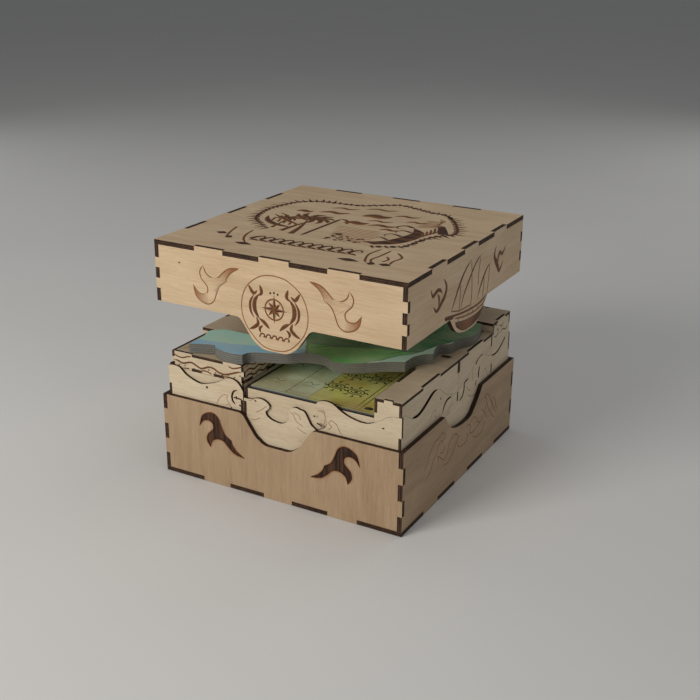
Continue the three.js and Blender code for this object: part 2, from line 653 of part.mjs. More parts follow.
/** Cover over a tray compartment: a top plate and four walls, open below. */
function cover({ name, x, y, top, seats, tabs, corner, bottom, extras = {} }) {
  return box({
    name,
    finish: 'insert',
    thick: TRAY_PLY,
    x,
    y,
    z: [bottom, top],
    plate: 'top',
    tabs,
    corner,
    edges: seats,
    extras,
  });
}

function makeLeftBox() {
  const x = [TRAY_LEFT, LEFT_TRAY_RIGHT];
  const y = [STRATA_REAR + JOINT_GAP, TRAY_REAR];
  const bottom = LEFT_SHELF + SEAT_GAP;
  const upper = [[LEFT_BOX_TOP - LEFT_BOX_FINGER, LEFT_BOX_TOP]];
  return cover({
    name: 'left_box',
    x,
    y,
    top: LEFT_BOX_TOP,
    bottom,
    tabs: {
      x: spans((x[0] + x[1]) / 2, 1, TRAY_TAB),
      y: spans((y[0] + y[1]) / 2, 3, TRAY_TAB, TRAY_TAB_PITCH),
    },
    corner: { front: upper, rear: upper },
    seats: {
      rear: raised(leftFrontWave, SEAT_GAP),
      left: raised(part(sideWave, y[0], y[1]), SEAT_GAP),
    },
  });
}

function makeSlimFrontBox() {
  const x = [SLIM_LEFT, TRAY_RIGHT];
  const y = [TRAY_FRONT, SLIM_SPLIT - JOINT_GAP / 2];
  const frontWave = rightFrontWave();
  const crest = frontWave.slice(frontWave.findLastIndex((point) => point[0] < x[0]));
  return cover({
    name: 'slim_front_box',
    x,
    y,
    top: SLIM_BOX_TOP,
    bottom: SLIM_SHELF + SEAT_GAP,
    tabs: {
      x: spans((x[0] + x[1]) / 2, 1, SLIM_SHORT_TAB),
      y: spans((y[0] + y[1]) / 2, 1, SLIM_LONG_TAB),
    },
    corner: { front: [[SLIM_SHELF, WAVE_TOP + JOINT_GAP]], rear: [[WAVE_TOP + JOINT_GAP, SLIM_BOX_TOP]] },
    seats: {
      front: raised(part(crest, x[0], x[1]), SEAT_GAP),
      right: raised(part(sideWave, y[0], y[1]), SEAT_GAP),
    },
    extras: { right: { cuts: curlSlots(SLIM_WALL_SLOTS, TRAY_FRONT, TRAY_REAR, SIDE_WAVE) } },
  });
}

function makeSlimRearBox() {
  const x = [SLIM_LEFT, TRAY_RIGHT];
  const y = [SLIM_SPLIT + JOINT_GAP / 2, REAR_BOX_FRONT - JOINT_GAP];
  return cover({
    name: 'slim_rear_box',
    x,
    y,
    top: SLIM_BOX_TOP,
    bottom: SLIM_SHELF + SEAT_GAP,
    tabs: {
      x: spans((x[0] + x[1]) / 2, 1, SLIM_SHORT_TAB),
      y: spans((y[0] + y[1]) / 2, 1, SLIM_LONG_TAB),
    },
    corner: { front: [[WAVE_TOP + JOINT_GAP, SLIM_BOX_TOP]], rear: [[WAVE_TOP + JOINT_GAP, SLIM_BOX_TOP]] },
    seats: { right: raised(part(sideWave, y[0], y[1]), SEAT_GAP) },
  });
}

function makeRearBox() {
  const x = [RIGHT_TRAY_LEFT, TRAY_RIGHT];
  const y = [REAR_BOX_FRONT, TRAY_REAR - TRAY_PLY - JOINT_GAP];
  const fingers = [[REAR_BOX_TOP - REAR_BOX_FINGER, REAR_BOX_TOP]];
  return cover({
    name: 'rear_box',
    x,
    y,
    top: REAR_BOX_TOP,
    bottom: SLIM_SHELF + SEAT_GAP,
    tabs: {
      x: spans((x[0] + x[1]) / 2, 2, TRAY_TAB, 2 * TRAY_TAB_PITCH),
      y: spans((y[0] + y[1]) / 2, 1, TRAY_TAB),
    },
    corner: { front: fingers, rear: fingers },
    seats: {
      left: [[y[0], INNER_WALL_TOP + SEAT_GAP], [y[1], INNER_WALL_TOP + SEAT_GAP]],
      right: raised(part(sideWave, y[0], y[1]), SEAT_GAP),
    },
  });
}

// ---- Printed boards --------------------------------------------------------------------------------

function makePlayerBoards() {
  const group = new THREE.Group();
  const outline = rounded([
    [0, LINER_REAR + BOARD_GAP],
    [SLIM_LEFT - BOARD_GAP, LINER_REAR + BOARD_GAP],
    [SLIM_LEFT - BOARD_GAP, REAR_BOX_FRONT - BOARD_GAP],
    [RIGHT_TRAY_LEFT + TRAY_PLY + BOARD_GAP, REAR_BOX_FRONT - BOARD_GAP],
    [RIGHT_TRAY_LEFT + TRAY_PLY + BOARD_GAP, LINER_REAR + BOARD_GAP],
    [0, LINER_REAR + BOARD_GAP],
  ], PLAYER_BOARD_ROUND).slice(1, -1);
  for (let i = 0; i < PLAYER_BOARDS; i += 1) {
    const bottom = BAY_FLOOR_TOP + SEAT_GAP + i * (PLAYER_BOARD + STACK_GAP);
    group.add(panel(`player_board_${i + 1}`, 'board', 'flat', bottom, { outline, thick: PLAYER_BOARD }));
  }
  return group;
}

/** A place drawn against some lines, moved to where those lines stand. */
function follow(value, drawn, real) {
  const i = value < drawn[1] ? 0 : 1;
  return real[i] + ((value - drawn[i]) / (drawn[i + 1] - drawn[i])) * (real[i + 1] - real[i]);
}

function makeIslandBoards() {
  const group = new THREE.Group();
  const real = { x: [TRAY_LEFT, LEFT_TRAY_RIGHT, TRAY_RIGHT], y: [TRAY_FRONT, STRATA_REAR, REAR_BOX_FRONT] };
  const outline = loop(ISLAND_OUTLINE.map((line) => (
    line.map(([x, y]) => [follow(x, ISLAND_LINES.x, real.x), follow(y, ISLAND_LINES.y, real.y)]))));
  for (let i = 0; i < ISLAND_BOARDS; i += 1) {
    const bottom = ISLAND_BOTTOM + i * (ISLAND_BOARD + STACK_GAP);
    group.add(panel(`island_board_${i + 1}`, 'island', 'flat', bottom, { outline, thick: ISLAND_BOARD }));
  }
  return group;
}

// ---- The organizer ---------------------------------------------------------------------------------

const organizer = new THREE.Group();
organizer.add(
  makeBase(),
  makeLid(),
  makeLeftTray(),
  makeRightTray(),
  makeStrataBox(),
  makeLeftBox(),
  makeSlimFrontBox(),
  makeSlimRearBox(),
  makeRearBox(),
  makePlayerBoards(),
  makeIslandBoards(),
);

export default organizer;
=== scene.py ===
"""Looks of the box insert organizer: birch plywood sheets with laser-burnt edges, engraved faces,
printed boards.

Metres, +Z up, +X to the right of the front, +Y to the rear. Artwork is drawn in millimetres on the face
of the sheet that carries it, as thin slips that ride with that sheet's body.
"""

import json

import bpy
import numpy as np
from mathutils import Matrix, Vector

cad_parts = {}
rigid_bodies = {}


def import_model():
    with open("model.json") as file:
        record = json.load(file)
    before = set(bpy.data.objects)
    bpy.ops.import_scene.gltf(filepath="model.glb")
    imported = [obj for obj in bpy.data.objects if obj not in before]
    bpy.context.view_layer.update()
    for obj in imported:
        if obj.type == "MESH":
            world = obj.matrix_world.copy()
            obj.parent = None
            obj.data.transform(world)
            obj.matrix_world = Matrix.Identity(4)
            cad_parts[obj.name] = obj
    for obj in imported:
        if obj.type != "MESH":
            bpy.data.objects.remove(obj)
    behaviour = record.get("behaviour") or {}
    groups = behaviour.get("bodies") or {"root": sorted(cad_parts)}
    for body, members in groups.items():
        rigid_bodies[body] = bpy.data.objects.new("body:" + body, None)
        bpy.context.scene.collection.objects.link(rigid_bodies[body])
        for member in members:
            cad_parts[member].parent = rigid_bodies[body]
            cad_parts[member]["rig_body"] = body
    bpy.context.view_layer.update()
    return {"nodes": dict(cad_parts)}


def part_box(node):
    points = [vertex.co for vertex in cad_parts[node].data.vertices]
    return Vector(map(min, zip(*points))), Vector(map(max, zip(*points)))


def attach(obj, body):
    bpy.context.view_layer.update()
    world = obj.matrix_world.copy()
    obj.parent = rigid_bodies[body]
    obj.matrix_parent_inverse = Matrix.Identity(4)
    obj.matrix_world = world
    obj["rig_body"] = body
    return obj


MM = 0.001
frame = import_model()
nodes = frame["nodes"]


# ---- Node wiring -----------------------------------------------------------------------------------------


def srgb(red, green, blue):
    """Colour from the usual 0-255 numbers; each is turned from display light to linear light."""
    share = np.array([red, green, blue]) / 255
    linear = np.where(share <= 0.04045, share / 12.92, ((share + 0.055) / 1.055) ** 2.4)
    return (*linear.tolist(), 1.0)


class Wiring:
    """Adds nodes to one tree. Wherever an input is given, it may be a plain value or another node's
    output."""

    def __init__(self, tree):
        self.tree = tree

    def add(self, kind, inputs=(), **settings):
        node = self.tree.nodes.new("ShaderNode" + kind)
        for key, value in settings.items():
            setattr(node, key, value)
        for key, value in dict(inputs).items():
            if isinstance(value, bpy.types.NodeSocket):
                self.tree.links.new(value, node.inputs[key])
            else:
                node.inputs[key].default_value = value
        return node

    def maths(self, operation, *values, clamp=False):
        return self.add("Math", enumerate(values), operation=operation, use_clamp=clamp).outputs[0]

    def mix(self, share, first, second):
        return self.add("Mix", {0: share, 6: first, 7: second}, data_type="RGBA").outputs[2]

    def blend(self, share, first, second):
        return self.add("Mix", {0: share, 2: first, 3: second}, data_type="FLOAT").outputs[0]

    def step(self, value, low, high):
        """0 below low, 1 above high, with a smooth rise between."""
        return self.add("MapRange", {0: value, 1: low, 2: high}, interpolation_type="SMOOTHSTEP").outputs[0]

    def scaled(self, vector, by):
        return self.add("VectorMath", {0: vector, 1: by}, operation="MULTIPLY").outputs[0]

    def dot(self, vector, axis):
        return self.add("VectorMath", {0: vector, 1: axis}, operation="DOT_PRODUCT").outputs["Value"]

    def noise(self, vector, per_metre, detail=2.0, rough=0.5):
        """Noise with so many features a metre along each axis."""
        inputs = {"Vector": self.scaled(vector, per_metre), "Scale": 1.0, "Detail": detail,
                  "Roughness": rough}
        return self.add("TexNoise", inputs).outputs[0]

    def group(self, tree, inputs):
        node = self.tree.nodes.new("ShaderNodeGroup")
        node.node_tree = tree
        for key, value in inputs.items():
            if isinstance(value, bpy.types.NodeSocket):
                self.tree.links.new(value, node.inputs[key])
            else:
                node.inputs[key].default_value = value
        return node.outputs


def node_group(name, inputs, outputs):
    """Empty shader group with named sockets, its wiring, and the two ends that the wiring joins."""
    tree = bpy.data.node_groups.new(name, "ShaderNodeTree")
    for sockets, side in ((inputs, "INPUT"), (outputs, "OUTPUT")):
        for label, kind in sockets.items():
            tree.interface.new_socket(name=label, in_out=side, socket_type="NodeSocket" + kind)
    ends = tree.nodes.new("NodeGroupInput").outputs, tree.nodes.new("NodeGroupOutput").inputs
    return tree, Wiring(tree), *ends


# ---- Shared finishes -------------------------------------------------------------------------------------


def make_birch_face():
    """Broad face of birch ply: flame figure, streaks, fibres and pores, all drawn out along the grain."""
    tree, w, given, out = node_group(
        "birch_face",
        {"Grain": "Vector", "Pale": "Color", "Deep": "Color", "Figure": "Float"},
        {"Color": "Color", "Roughness": "Float", "Height": "Float"},
    )
    grain = given["Grain"]
    swirl = w.noise(grain, (2.4, 11, 11), 1.5)
    flame = w.maths("SINE", w.maths("MULTIPLY", swirl, 58))
    streak = w.noise(grain, (9, 210, 210), 3, 0.6)
    fibre = w.noise(grain, (60, 1500, 1500), 2, 0.6)
    fleck = w.noise(grain, (38, 620, 620), 2, 0.6)
    cloud = w.noise(grain, (10, 16, 16), 3)
    tone = w.maths("MULTIPLY_ADD", w.maths("MULTIPLY", flame, given["Figure"]), 0.11, 0.45)
    tone = w.maths("ADD", tone, w.maths("MULTIPLY_ADD", streak, 0.6, -0.3))
    tone = w.maths("ADD", tone, w.maths("MULTIPLY_ADD", fleck, 0.8, -0.4))
    tone = w.maths("ADD", tone, w.maths("MULTIPLY_ADD", fibre, 0.9, -0.45))
    tone = w.maths("ADD", tone, w.maths("MULTIPLY_ADD", cloud, 0.7, -0.35), clamp=True)
    pore = w.step(w.noise(grain, (110, 1900, 1900), 1), 0.67, 0.76)
    face = w.mix(tone, given["Pale"], given["Deep"])
    face = w.mix(w.maths("MULTIPLY", pore, 0.4), face, srgb(112, 78, 50))
    w.tree.links.new(face, out["Color"])
    w.tree.links.new(w.maths("MULTIPLY_ADD", fibre, 0.25, 0.42), out["Roughness"])
    w.tree.links.new(w.maths("SUBTRACT", w.maths("ADD", fibre, streak), pore), out["Height"])
    return tree


def make_burnt_edge():
    """Laser-cut edge of ply: bands a millimetre thick, end grain nearly black and long grain brown,
    with soot."""
    tree, w, given, out = node_group(
        "burnt_edge",
        {"Across": "Float", "Place": "Vector"},
        {"Color": "Color", "Roughness": "Float", "Height": "Float"},
    )
    wander = w.noise(given["Place"], (30, 30, 30), 2)
    layer = w.maths("MULTIPLY_ADD", given["Across"], 1000, w.maths("MULTIPLY", wander, 0.5))
    band = w.step(w.maths("PINGPONG", layer, 1), 0.4, 0.62)
    soot = w.noise(given["Place"], (160, 160, 160), 4, 0.65)
    fine = w.noise(given["Place"], (1700, 1700, 1700), 2)
    brown = w.mix(fine, srgb(112, 78, 50), srgb(70, 46, 29))
    black = w.mix(fine, srgb(38, 24, 16), srgb(18, 11, 8))
    edge = w.mix(w.maths("MULTIPLY", band, w.step(soot, 0.75, 0.3)), black, brown)
    w.tree.links.new(edge, out["Color"])
    w.tree.links.new(w.maths("MULTIPLY_ADD", fine, 0.2, 0.62), out["Roughness"])
    w.tree.links.new(w.maths("ADD", band, fine), out["Height"])
    return tree


def make_laser_burn():
    """Wood marked by the laser: caramel where the burn is light, char where it is full, in specks along
    the grain."""
    tree, w, given, out = node_group(
        "laser_burn", {"Wood": "Color", "Burn": "Float", "Grain": "Vector"},
        {"Color": "Color", "Depth": "Float"}
    )
    speck = w.noise(given["Grain"], (260, 1300, 1300), 3, 0.65)
    streak = w.step(w.noise(given["Grain"], (16, 330, 330), 3, 0.6), 0.35, 0.68)
    char = w.mix(streak, srgb(34, 19, 11), srgb(82, 52, 32))
    burn = w.maths("MULTIPLY", given["Burn"], w.maths("MULTIPLY_ADD", speck, 0.9, 0.6), clamp=True)
    light = w.mix(w.step(burn, 0, 0.5), given["Wood"], srgb(142, 92, 52))
    w.tree.links.new(w.mix(w.step(burn, 0.4, 1.0), light, char), out["Color"])
    w.tree.links.new(burn, out["Depth"])
    return tree


def make_card_print():
    """Printed paper on card: ink with faint blotches and scuffs, and grey layered card at the cut edges."""
    tree, w, given, out = node_group(
        "card_print",
        {"Ink": "Color", "Card": "Color", "Face": "Float", "Place": "Vector", "Across": "Float"},
        {"Color": "Color", "Roughness": "Float", "Height": "Float"},
    )
    blotch = w.noise(given["Place"], (28, 28, 28), 4, 0.6)
    paper = w.noise(given["Place"], (1400, 1400, 1400), 2)
    ink = w.mix(w.maths("MULTIPLY_ADD", blotch, 0.9, -0.22, clamp=True), given["Ink"], srgb(236, 232, 204))
    ink = w.mix(w.maths("MULTIPLY", paper, 0.12), ink, srgb(60, 62, 52))
    ply = w.noise(given["Place"], (40, 40, 3400), 2)
    layer = w.step(w.maths("PINGPONG", w.maths("MULTIPLY", given["Across"], 2600), 1), 0.3, 0.8)
    core = w.mix(w.maths("MULTIPLY", w.maths("ADD", layer, ply), 0.5), given["Card"], srgb(62, 60, 56))
    w.tree.links.new(w.mix(given["Face"], core, ink), out["Color"])
    w.tree.links.new(w.blend(given["Face"], 0.85, w.maths("MULTIPLY_ADD", paper, 0.12, 0.36)),
                     out["Roughness"])
    w.tree.links.new(w.maths("ADD", paper, ply), out["Height"])
    return tree


BIRCH = make_birch_face()
EDGE = make_burnt_edge()
BURN = make_laser_burn()
PRINT = make_card_print()

AXES = {"flat": (0, 0, 1), "front": (0, 1, 0), "side": (1, 0, 0)}
GRAIN_TURNS = {"x": (0, 0, 0), "y": (0, 0, -np.pi / 2), "z": (0, np.pi / 2, 0)}


def surface(name):
    """New material, its wiring and its Principled shader."""
    material = bpy.data.materials.new(name)
    material.use_nodes = True
    shader = material.node_tree.nodes["Principled BSDF"]
    shader.inputs["Specular IOR Level"].default_value = 0.25
    return material, Wiring(material.node_tree), shader


def finish_surface(w, shader, colour, roughness, height, depth):
    """Joins colour, roughness and relief to the shader."""
    bump = w.add("Bump", {"Height": height, "Strength": 0.35, "Distance": depth})
    w.tree.links.new(colour, shader.inputs["Base Color"])
    w.tree.links.new(roughness, shader.inputs["Roughness"])
    w.tree.links.new(bump.outputs[0], shader.inputs["Normal"])


def ply_material(name, stance, grain, pale, deep, figure, shift, pocket=None, engraved=False):
    """Plywood sheet: birch on its broad faces and burnt ply at its cut edges.

    pocket is the depth in metres, along -Y, between which a sunk floor is burnt dark. An engraved slip
    has the same wood under its own burn attribute, so that its unburnt parts vanish into the sheet."""
    material, w, shader = surface(name)
    place = w.add("TexCoord").outputs
    axis = AXES[stance]
    along = w.add("Mapping", {"Vector": place["Object"], "Location": shift, "Rotation": GRAIN_TURNS[grain]})
    wood = w.group(BIRCH, {"Grain": along.outputs[0], "Pale": pale, "Deep": deep, "Figure": figure})
    colour, roughness, height = wood["Color"], wood["Roughness"], wood["Height"]
    if engraved:
        burn = w.add("Attribute", attribute_name="burn").outputs["Fac"]
        marked = w.group(BURN, {"Wood": colour, "Burn": burn, "Grain": along.outputs[0]})
        colour = marked["Color"]
        height = w.maths("SUBTRACT", height, w.maths("MULTIPLY", marked["Depth"], 2))
    else:
        if pocket:
            depth = w.dot(place["Object"], (0, -1, 0))
            sunk = w.maths("MULTIPLY", w.step(depth, *pocket[:2]), w.step(depth, *pocket[2:]))
            sunk = w.maths("MULTIPLY", sunk, w.step(w.dot(place["Normal"], (0, -1, 0)), 0.4, 0.6))
            burn = w.maths("MULTIPLY", sunk, 1.25)
            colour = w.group(BURN, {"Wood": colour, "Burn": burn, "Grain": along.outputs[0]})["Color"]
        face = w.maths("GREATER_THAN", w.maths("ABSOLUTE", w.dot(place["Normal"], axis)), 0.5)
        across = w.dot(place["Object"], axis)
        edge = w.group(EDGE, {"Across": across, "Place": place["Object"]})
        colour = w.mix(face, edge["Color"], colour)
        roughness = w.blend(face, edge["Roughness"], roughness)
        height = w.blend(face, edge["Height"], height)
    finish_surface(w, shader, colour, roughness, height, 0.00025)
    return material


# ---- Sheets ----------------------------------------------------------------------------------------------

# Wood of each group of sheets: pale and deep wood, and how strong the flame figure is; the base's sheets are
# set darker than the lid's and the insert's
WOODS = {
    "lid": (srgb(218, 193, 160), srgb(188, 159, 124), 1.0),
    "base": (srgb(180, 154, 124), srgb(148, 121, 92), 0.8),
    "insert": (srgb(214, 197, 170), srgb(186, 165, 135), 0.9),
}
GRAINS = {"lid_top": "x", "base_front_wall": "z", "base_rear_wall": "z", "lid_right_wall": "y"}
SLOTS = {"lid": "lid_ply", "base": "base_ply", "insert": "insert_ply"}
TONE_SEED = 7
TONE_SPREAD = 0.018
# Millimetres behind the base's front face: the burn comes in over the first two, goes out over the last two
POCKET_DEPTHS = (1.6, 1.3, 0.4, 0.7)
sheet_of = {}


def stance_of(name):
    """Which way a sheet stands, from the shortest side of its box."""
    low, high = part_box(name)
    size = high - low
    return ("side", "front", "flat")[min(range(3), key=lambda i: size[i])]


def dress_sheets():
    """Gives every plywood node its own cut of birch: grain shifted by its place in the list, tone a
    little varied."""
    wooden = sorted(n for n in nodes if "board_" not in n.replace("board_bay", "bay"))
    tones = np.random.default_rng(TONE_SEED).normal(0, TONE_SPREAD, (len(wooden), 1)) + 1
    front = -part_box("base_front_wall")[0].y
    pocket = tuple(front - depth * MM for depth in POCKET_DEPTHS)
    for i, name in enumerate(wooden):
        kind = name.split("_")[0] if name.startswith(("lid_", "base_")) else "insert"
        pale, deep, figure = WOODS[kind]
        stance = stance_of(name)
        tint = [tuple((np.array(c[:3]) * tones[i]).tolist()) + (1.0,) for c in (pale, deep)]
        cut = {
            "stance": stance,
            "grain": GRAINS.get(name, {"flat": "x", "front": "x", "side": "y"}[stance]),
            "pale": tint[0],
            "deep": tint[1],
            "figure": figure,
            "shift": (0.37 * i, 0.53 * i % 1.7, 0.71 * i % 2.3),
        }
        sunk = pocket if name == "base_front_wall" else None
        nodes[name].material_slots[0].material = ply_material("ply_" + name, pocket=sunk, **cut)
        sheet_of[name] = (cut, SLOTS[kind])


dress_sheets()


# ---- Drawing on sheets -----------------------------------------------------------------------------------

FACES = {
    "front": ((1, 0, 0), (0, 0, 1), (0, -1, 0)),
    "right": ((0, 1, 0), (0, 0, 1), (1, 0, 0)),
    "top": ((1, 0, 0), (0, 1, 0), (0, 0, 1)),
}
LIFT = 0.05
LIFT_STEP = 0.004
LIFT_TURNS = 13
LIFT_STRIDE = 5


def flowing(points, steps=8):
    """Smooth line through a few points: each span is the cubic that also leans on the points either
    side of it."""
    p = np.asarray(points, float)
    p = np.vstack([p[:1], p, p[-1:]])
    a, b, c, d = (p[i : len(p) - 3 + i, None] for i in range(4))
    t = (np.arange(steps) / steps)[None, :, None]
    spans = b + 0.5 * ((c - a) * t + (2 * a - 5 * b + 4 * c - d) * t**2 + (3 * b - 3 * c + d - a) * t**3)
    return np.vstack([spans.reshape(-1, 2), p[-2:-1]])


def spread(path, step):
    """Points at equal steps along a line, with the unit directions of travel there."""
    path = np.asarray(path, float)
    run = np.concatenate([[0], np.cumsum(np.linalg.norm(np.diff(path, axis=0), axis=1))])
    at = np.arange(step / 2, run[-1], step)
    place = np.stack([np.interp(at, run, path[:, k]) for k in (0, 1)], 1)
    ahead = np.gradient(place, axis=0)
    return place, ahead / np.linalg.norm(ahead, axis=1, keepdims=True)


def turned(points, centre=(0, 0), scale=1.0, flip=(1, 1), angle=0.0):
    """Points flipped, scaled, turned by an angle in degrees and moved to a centre."""
    c, s = np.cos(np.radians(angle)), np.sin(np.radians(angle))
    p = np.asarray(points, float) * flip * scale
    return p @ np.array([[c, s], [-s, c]]) + centre


WIDTHS = {
    "even": lambda t: np.clip(np.minimum(t, 1 - t) * 12, 0.15, 1),
    "swell": lambda t: np.maximum(np.sin(np.pi * t) ** 0.7, 0.04),
    "tail": lambda t: np.maximum((1 - t) ** 0.8, 0.04),
    "ring": lambda t: np.ones_like(t),
}


class Drawing:
    """Slips on one face of one sheet, gathered in millimetres across (u) and up (v) and made into one
    piece."""

    def __init__(self, name, node, face, ink=None):
        self.name, self.node, self.ink = name, node, ink
        self.axes = np.array(FACES[face], float)
        low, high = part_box(node)
        outward = self.axes[2]
        corner = np.where(outward > 0, high, low)
        self.origin = np.abs(outward) * corner
        self.points, self.quads, self.burns, self.count = [], [], [], 0

    def slip(self, right, left, burn=1.0, columns=2, closed=False):
        """Closed slip between two lines: a point is right + s (left - right) for s from 0 to 1, raised
        by the lift on the way over and sunk by as much on the way back. Slips that cross differ a
        little in lift. burn is given by row, by column or both."""
        right, left = np.asarray(right, float), np.asarray(left, float)
        rows, ring = len(right), 2 * columns
        s = np.linspace(0, 1, columns)
        s = np.concatenate([s, s[::-1]])
        flat = right[:, None] + s[None, :, None] * (left - right)[:, None]
        lift = LIFT + LIFT_STEP * (len(self.points) * LIFT_STRIDE % LIFT_TURNS)
        height = np.repeat([lift, -LIFT], columns)
        solid = np.concatenate([flat, np.broadcast_to(height[None, :, None], (rows, ring, 1))], 2)
        self.points.append(solid.reshape(-1, 3))
        amount = np.broadcast_to(np.asarray(burn, float), (rows, columns))
        self.burns.append(np.concatenate([amount, amount[:, ::-1]], 1).ravel())
        i = np.arange(rows if closed else rows - 1)[:, None]
        j = np.arange(ring)[None, :]
        nxt, over = (i + 1) % rows, (j + 1) % ring
        corners = np.stack([i * ring + j, nxt * ring + j, nxt * ring + over, i * ring + over], 2)
        quads = [corners.reshape(-1, 4)]
        if not closed:
            k = np.arange(columns - 1)
            cap = np.stack([k, k + 1, ring - 2 - k, ring - 1 - k], 1)
            quads += [cap, cap[:, ::-1] + (rows - 1) * ring]
        self.quads.append(np.vstack(quads) + self.count)
        self.count += rows * ring

    def line(self, points, width=0.8, burn=0.55, shape="even", smooth=True, closed=False):
        """Line of a width: the slip runs half the width to each side of the path, times the shape's
        share there."""
        path = flowing(points) if smooth else np.asarray(points, float)
        if closed:
            ahead = np.roll(path, -1, 0) - np.roll(path, 1, 0)
        else:
            ahead = np.gradient(path, axis=0)
        ahead /= np.maximum(np.linalg.norm(ahead, axis=1, keepdims=True), 1e-9)
        side = np.stack([-ahead[:, 1], ahead[:, 0]], 1)
        t = np.concatenate([[0], np.cumsum(np.linalg.norm(np.diff(path, axis=0), axis=1))])
        half = side * (width / 2 * WIDTHS[shape](t / t[-1]))[:, None]
        self.slip(path - half, path + half, burn * np.array([[0.7, 1, 0.7]]), columns=3, closed=closed)

    def ring(self, centre, radii, width=0.8, burn=0.55, count=40):
        """Round or oval line: the centre plus the radii times cosine and sine."""
        a = np.arange(count) / count * 2 * np.pi
        path = np.asarray(centre) + np.stack([np.cos(a), np.sin(a)], 1) * radii
        self.line(path, width, burn, "ring", smooth=False, closed=True)

    def dot(self, centre, radius, burn=0.7, squeeze=1.0):
        """Filled spot: a slip from its lower half circle to its upper one."""
        a = np.linspace(np.pi, 0, 9)
        lower = np.asarray(centre) + radius * np.stack([np.cos(a), -np.sin(a) * squeeze], 1)
        upper = np.asarray(centre) + radius * np.stack([np.cos(a), np.sin(a) * squeeze], 1)
        self.slip(lower, upper, burn)

    def patch(self, first, second, burn, columns=5):
        """Shaded area between two smooth lines with as many points each; it is turned to face outwards."""
        first, second = flowing(first), flowing(second)
        outline = np.vstack([first, second[::-1]])
        nxt = np.roll(outline, -1, 0)
        area = np.sum(outline[:, 0] * nxt[:, 1] - nxt[:, 0] * outline[:, 1])
        amount = np.broadcast_to(np.asarray(burn, float), (len(first), columns))
        if area < 0:
            first, second, amount = second, first, amount[:, ::-1]
        self.slip(first, second, amount, columns)

    def make(self):
        """Puts the gathered slips into one mesh with its burn attribute, and rides it on the sheet's body."""
        flat = np.vstack(self.points) * MM
        place = flat @ self.axes + self.origin
        quads = np.vstack(self.quads)
        mesh = bpy.data.meshes.new(self.name)
        mesh.vertices.add(len(place))
        mesh.vertices.foreach_set("co", place.astype(np.float32).ravel())
        mesh.loops.add(quads.size)
        mesh.loops.foreach_set("vertex_index", quads.astype(np.int32).ravel())
        mesh.polygons.add(len(quads))
        mesh.polygons.foreach_set("loop_start", np.arange(0, quads.size, 4, dtype=np.int32))
        mesh.update(calc_edges=True)
        attribute = mesh.attributes.new("burn", "FLOAT", "POINT")
        attribute.data.foreach_set("value", np.concatenate(self.burns).astype(np.float32))
        piece = bpy.data.objects.new(self.name, mesh)
        bpy.context.scene.collection.objects.link(piece)
        if self.ink is None:
            cut, slot = sheet_of[self.node]
            mesh.materials.append(ply_material("mark_" + self.name, engraved=True, **cut))
        else:
            mesh.materials.append(self.ink)
        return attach(piece, nodes[self.node]["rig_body"])


# ---- Wave motif ------------------------------------------------------------------------------------------

# Curves from tip to tip, about the motif's own middle
CREST = [(-29.5, 3.5), (-26, 15.5), (-18.5, 21.2), (-10.5, 22.5), (-3.5, 18), (0.5, 8.5), (5, 0), (12.8, -5)]
ARM = [(12.8, -5), (14.4, -10.1), (20, -16.7), (29.5, -22.5)]
BELLY = [(29.5, -22.5), (17.5, -20.5), (9.5, -15), (2.5, -8.5), (-5.5, -7.5), (-12.5, -11.5), (-15.5, -19.5)]
HOOK = [(-15.5, -19.5), (-20, -12.5), (-18.5, -4.5), (-11.5, 3), (-11.5, 9.5), (-16.5, 12.5), (-23.5, 11),
        (-29.5, 3.5)]


def engrave_wave(art, centre, flip, width=1.3, burn=0.6, shade=0.5):
    """Outlined wave whose long arm and hooked tip are shaded, darkest at their points."""
    put = lambda points: turned(points, centre, 1, flip)
    for curve in (CREST, ARM, BELLY, HOOK):
        art.line(put(curve), width, burn)
    fade = np.linspace(0.3, 1, 25)[:, None]
    art.patch(put(ARM), put(BELLY[3::-1]), shade * fade)
    fade = np.linspace(0.1, 0.35, 17)[:, None]
    art.patch(put(CREST[5:]), put([HOOK[2], BELLY[4], BELLY[3]]), shade * fade)
    fade = np.linspace(1, 0.2, 25)[:, None]
    art.patch(put(CREST[:4]), put(HOOK[:3:-1]), shade * fade)


def scorch_pockets():
    """Soft brown halo round each burnt pocket of the base's front wall: bands outward from its three
    curves."""
    art = Drawing("base_wave_scorch", "base_front_wall", "front")
    for sign in (-1, 1):
        for curve in (CREST, ARM, BELLY, HOOK):
            path = turned(flowing(curve), (sign * 71.5, 63.5), flip=(-sign, 1))
            ahead = np.gradient(path, axis=0)
            ahead /= np.linalg.norm(ahead, axis=1, keepdims=True)
            out = np.stack([-ahead[:, 1], ahead[:, 0]], 1) * -sign
            t = np.linspace(0, 1, len(path))[:, None]
            band = path + out * (2.4 - 1.5 * np.abs(2 * t - 1) ** 4)
            fade = np.array([[0.5, 0.3, 0.12, 0]])
            if sign < 0:
                art.slip(path, band, fade, 4)
            else:
                art.slip(band, path, fade[:, ::-1], 4)
    art.make()


# ---- Lid -------------------------------------------------------------------------------------------------


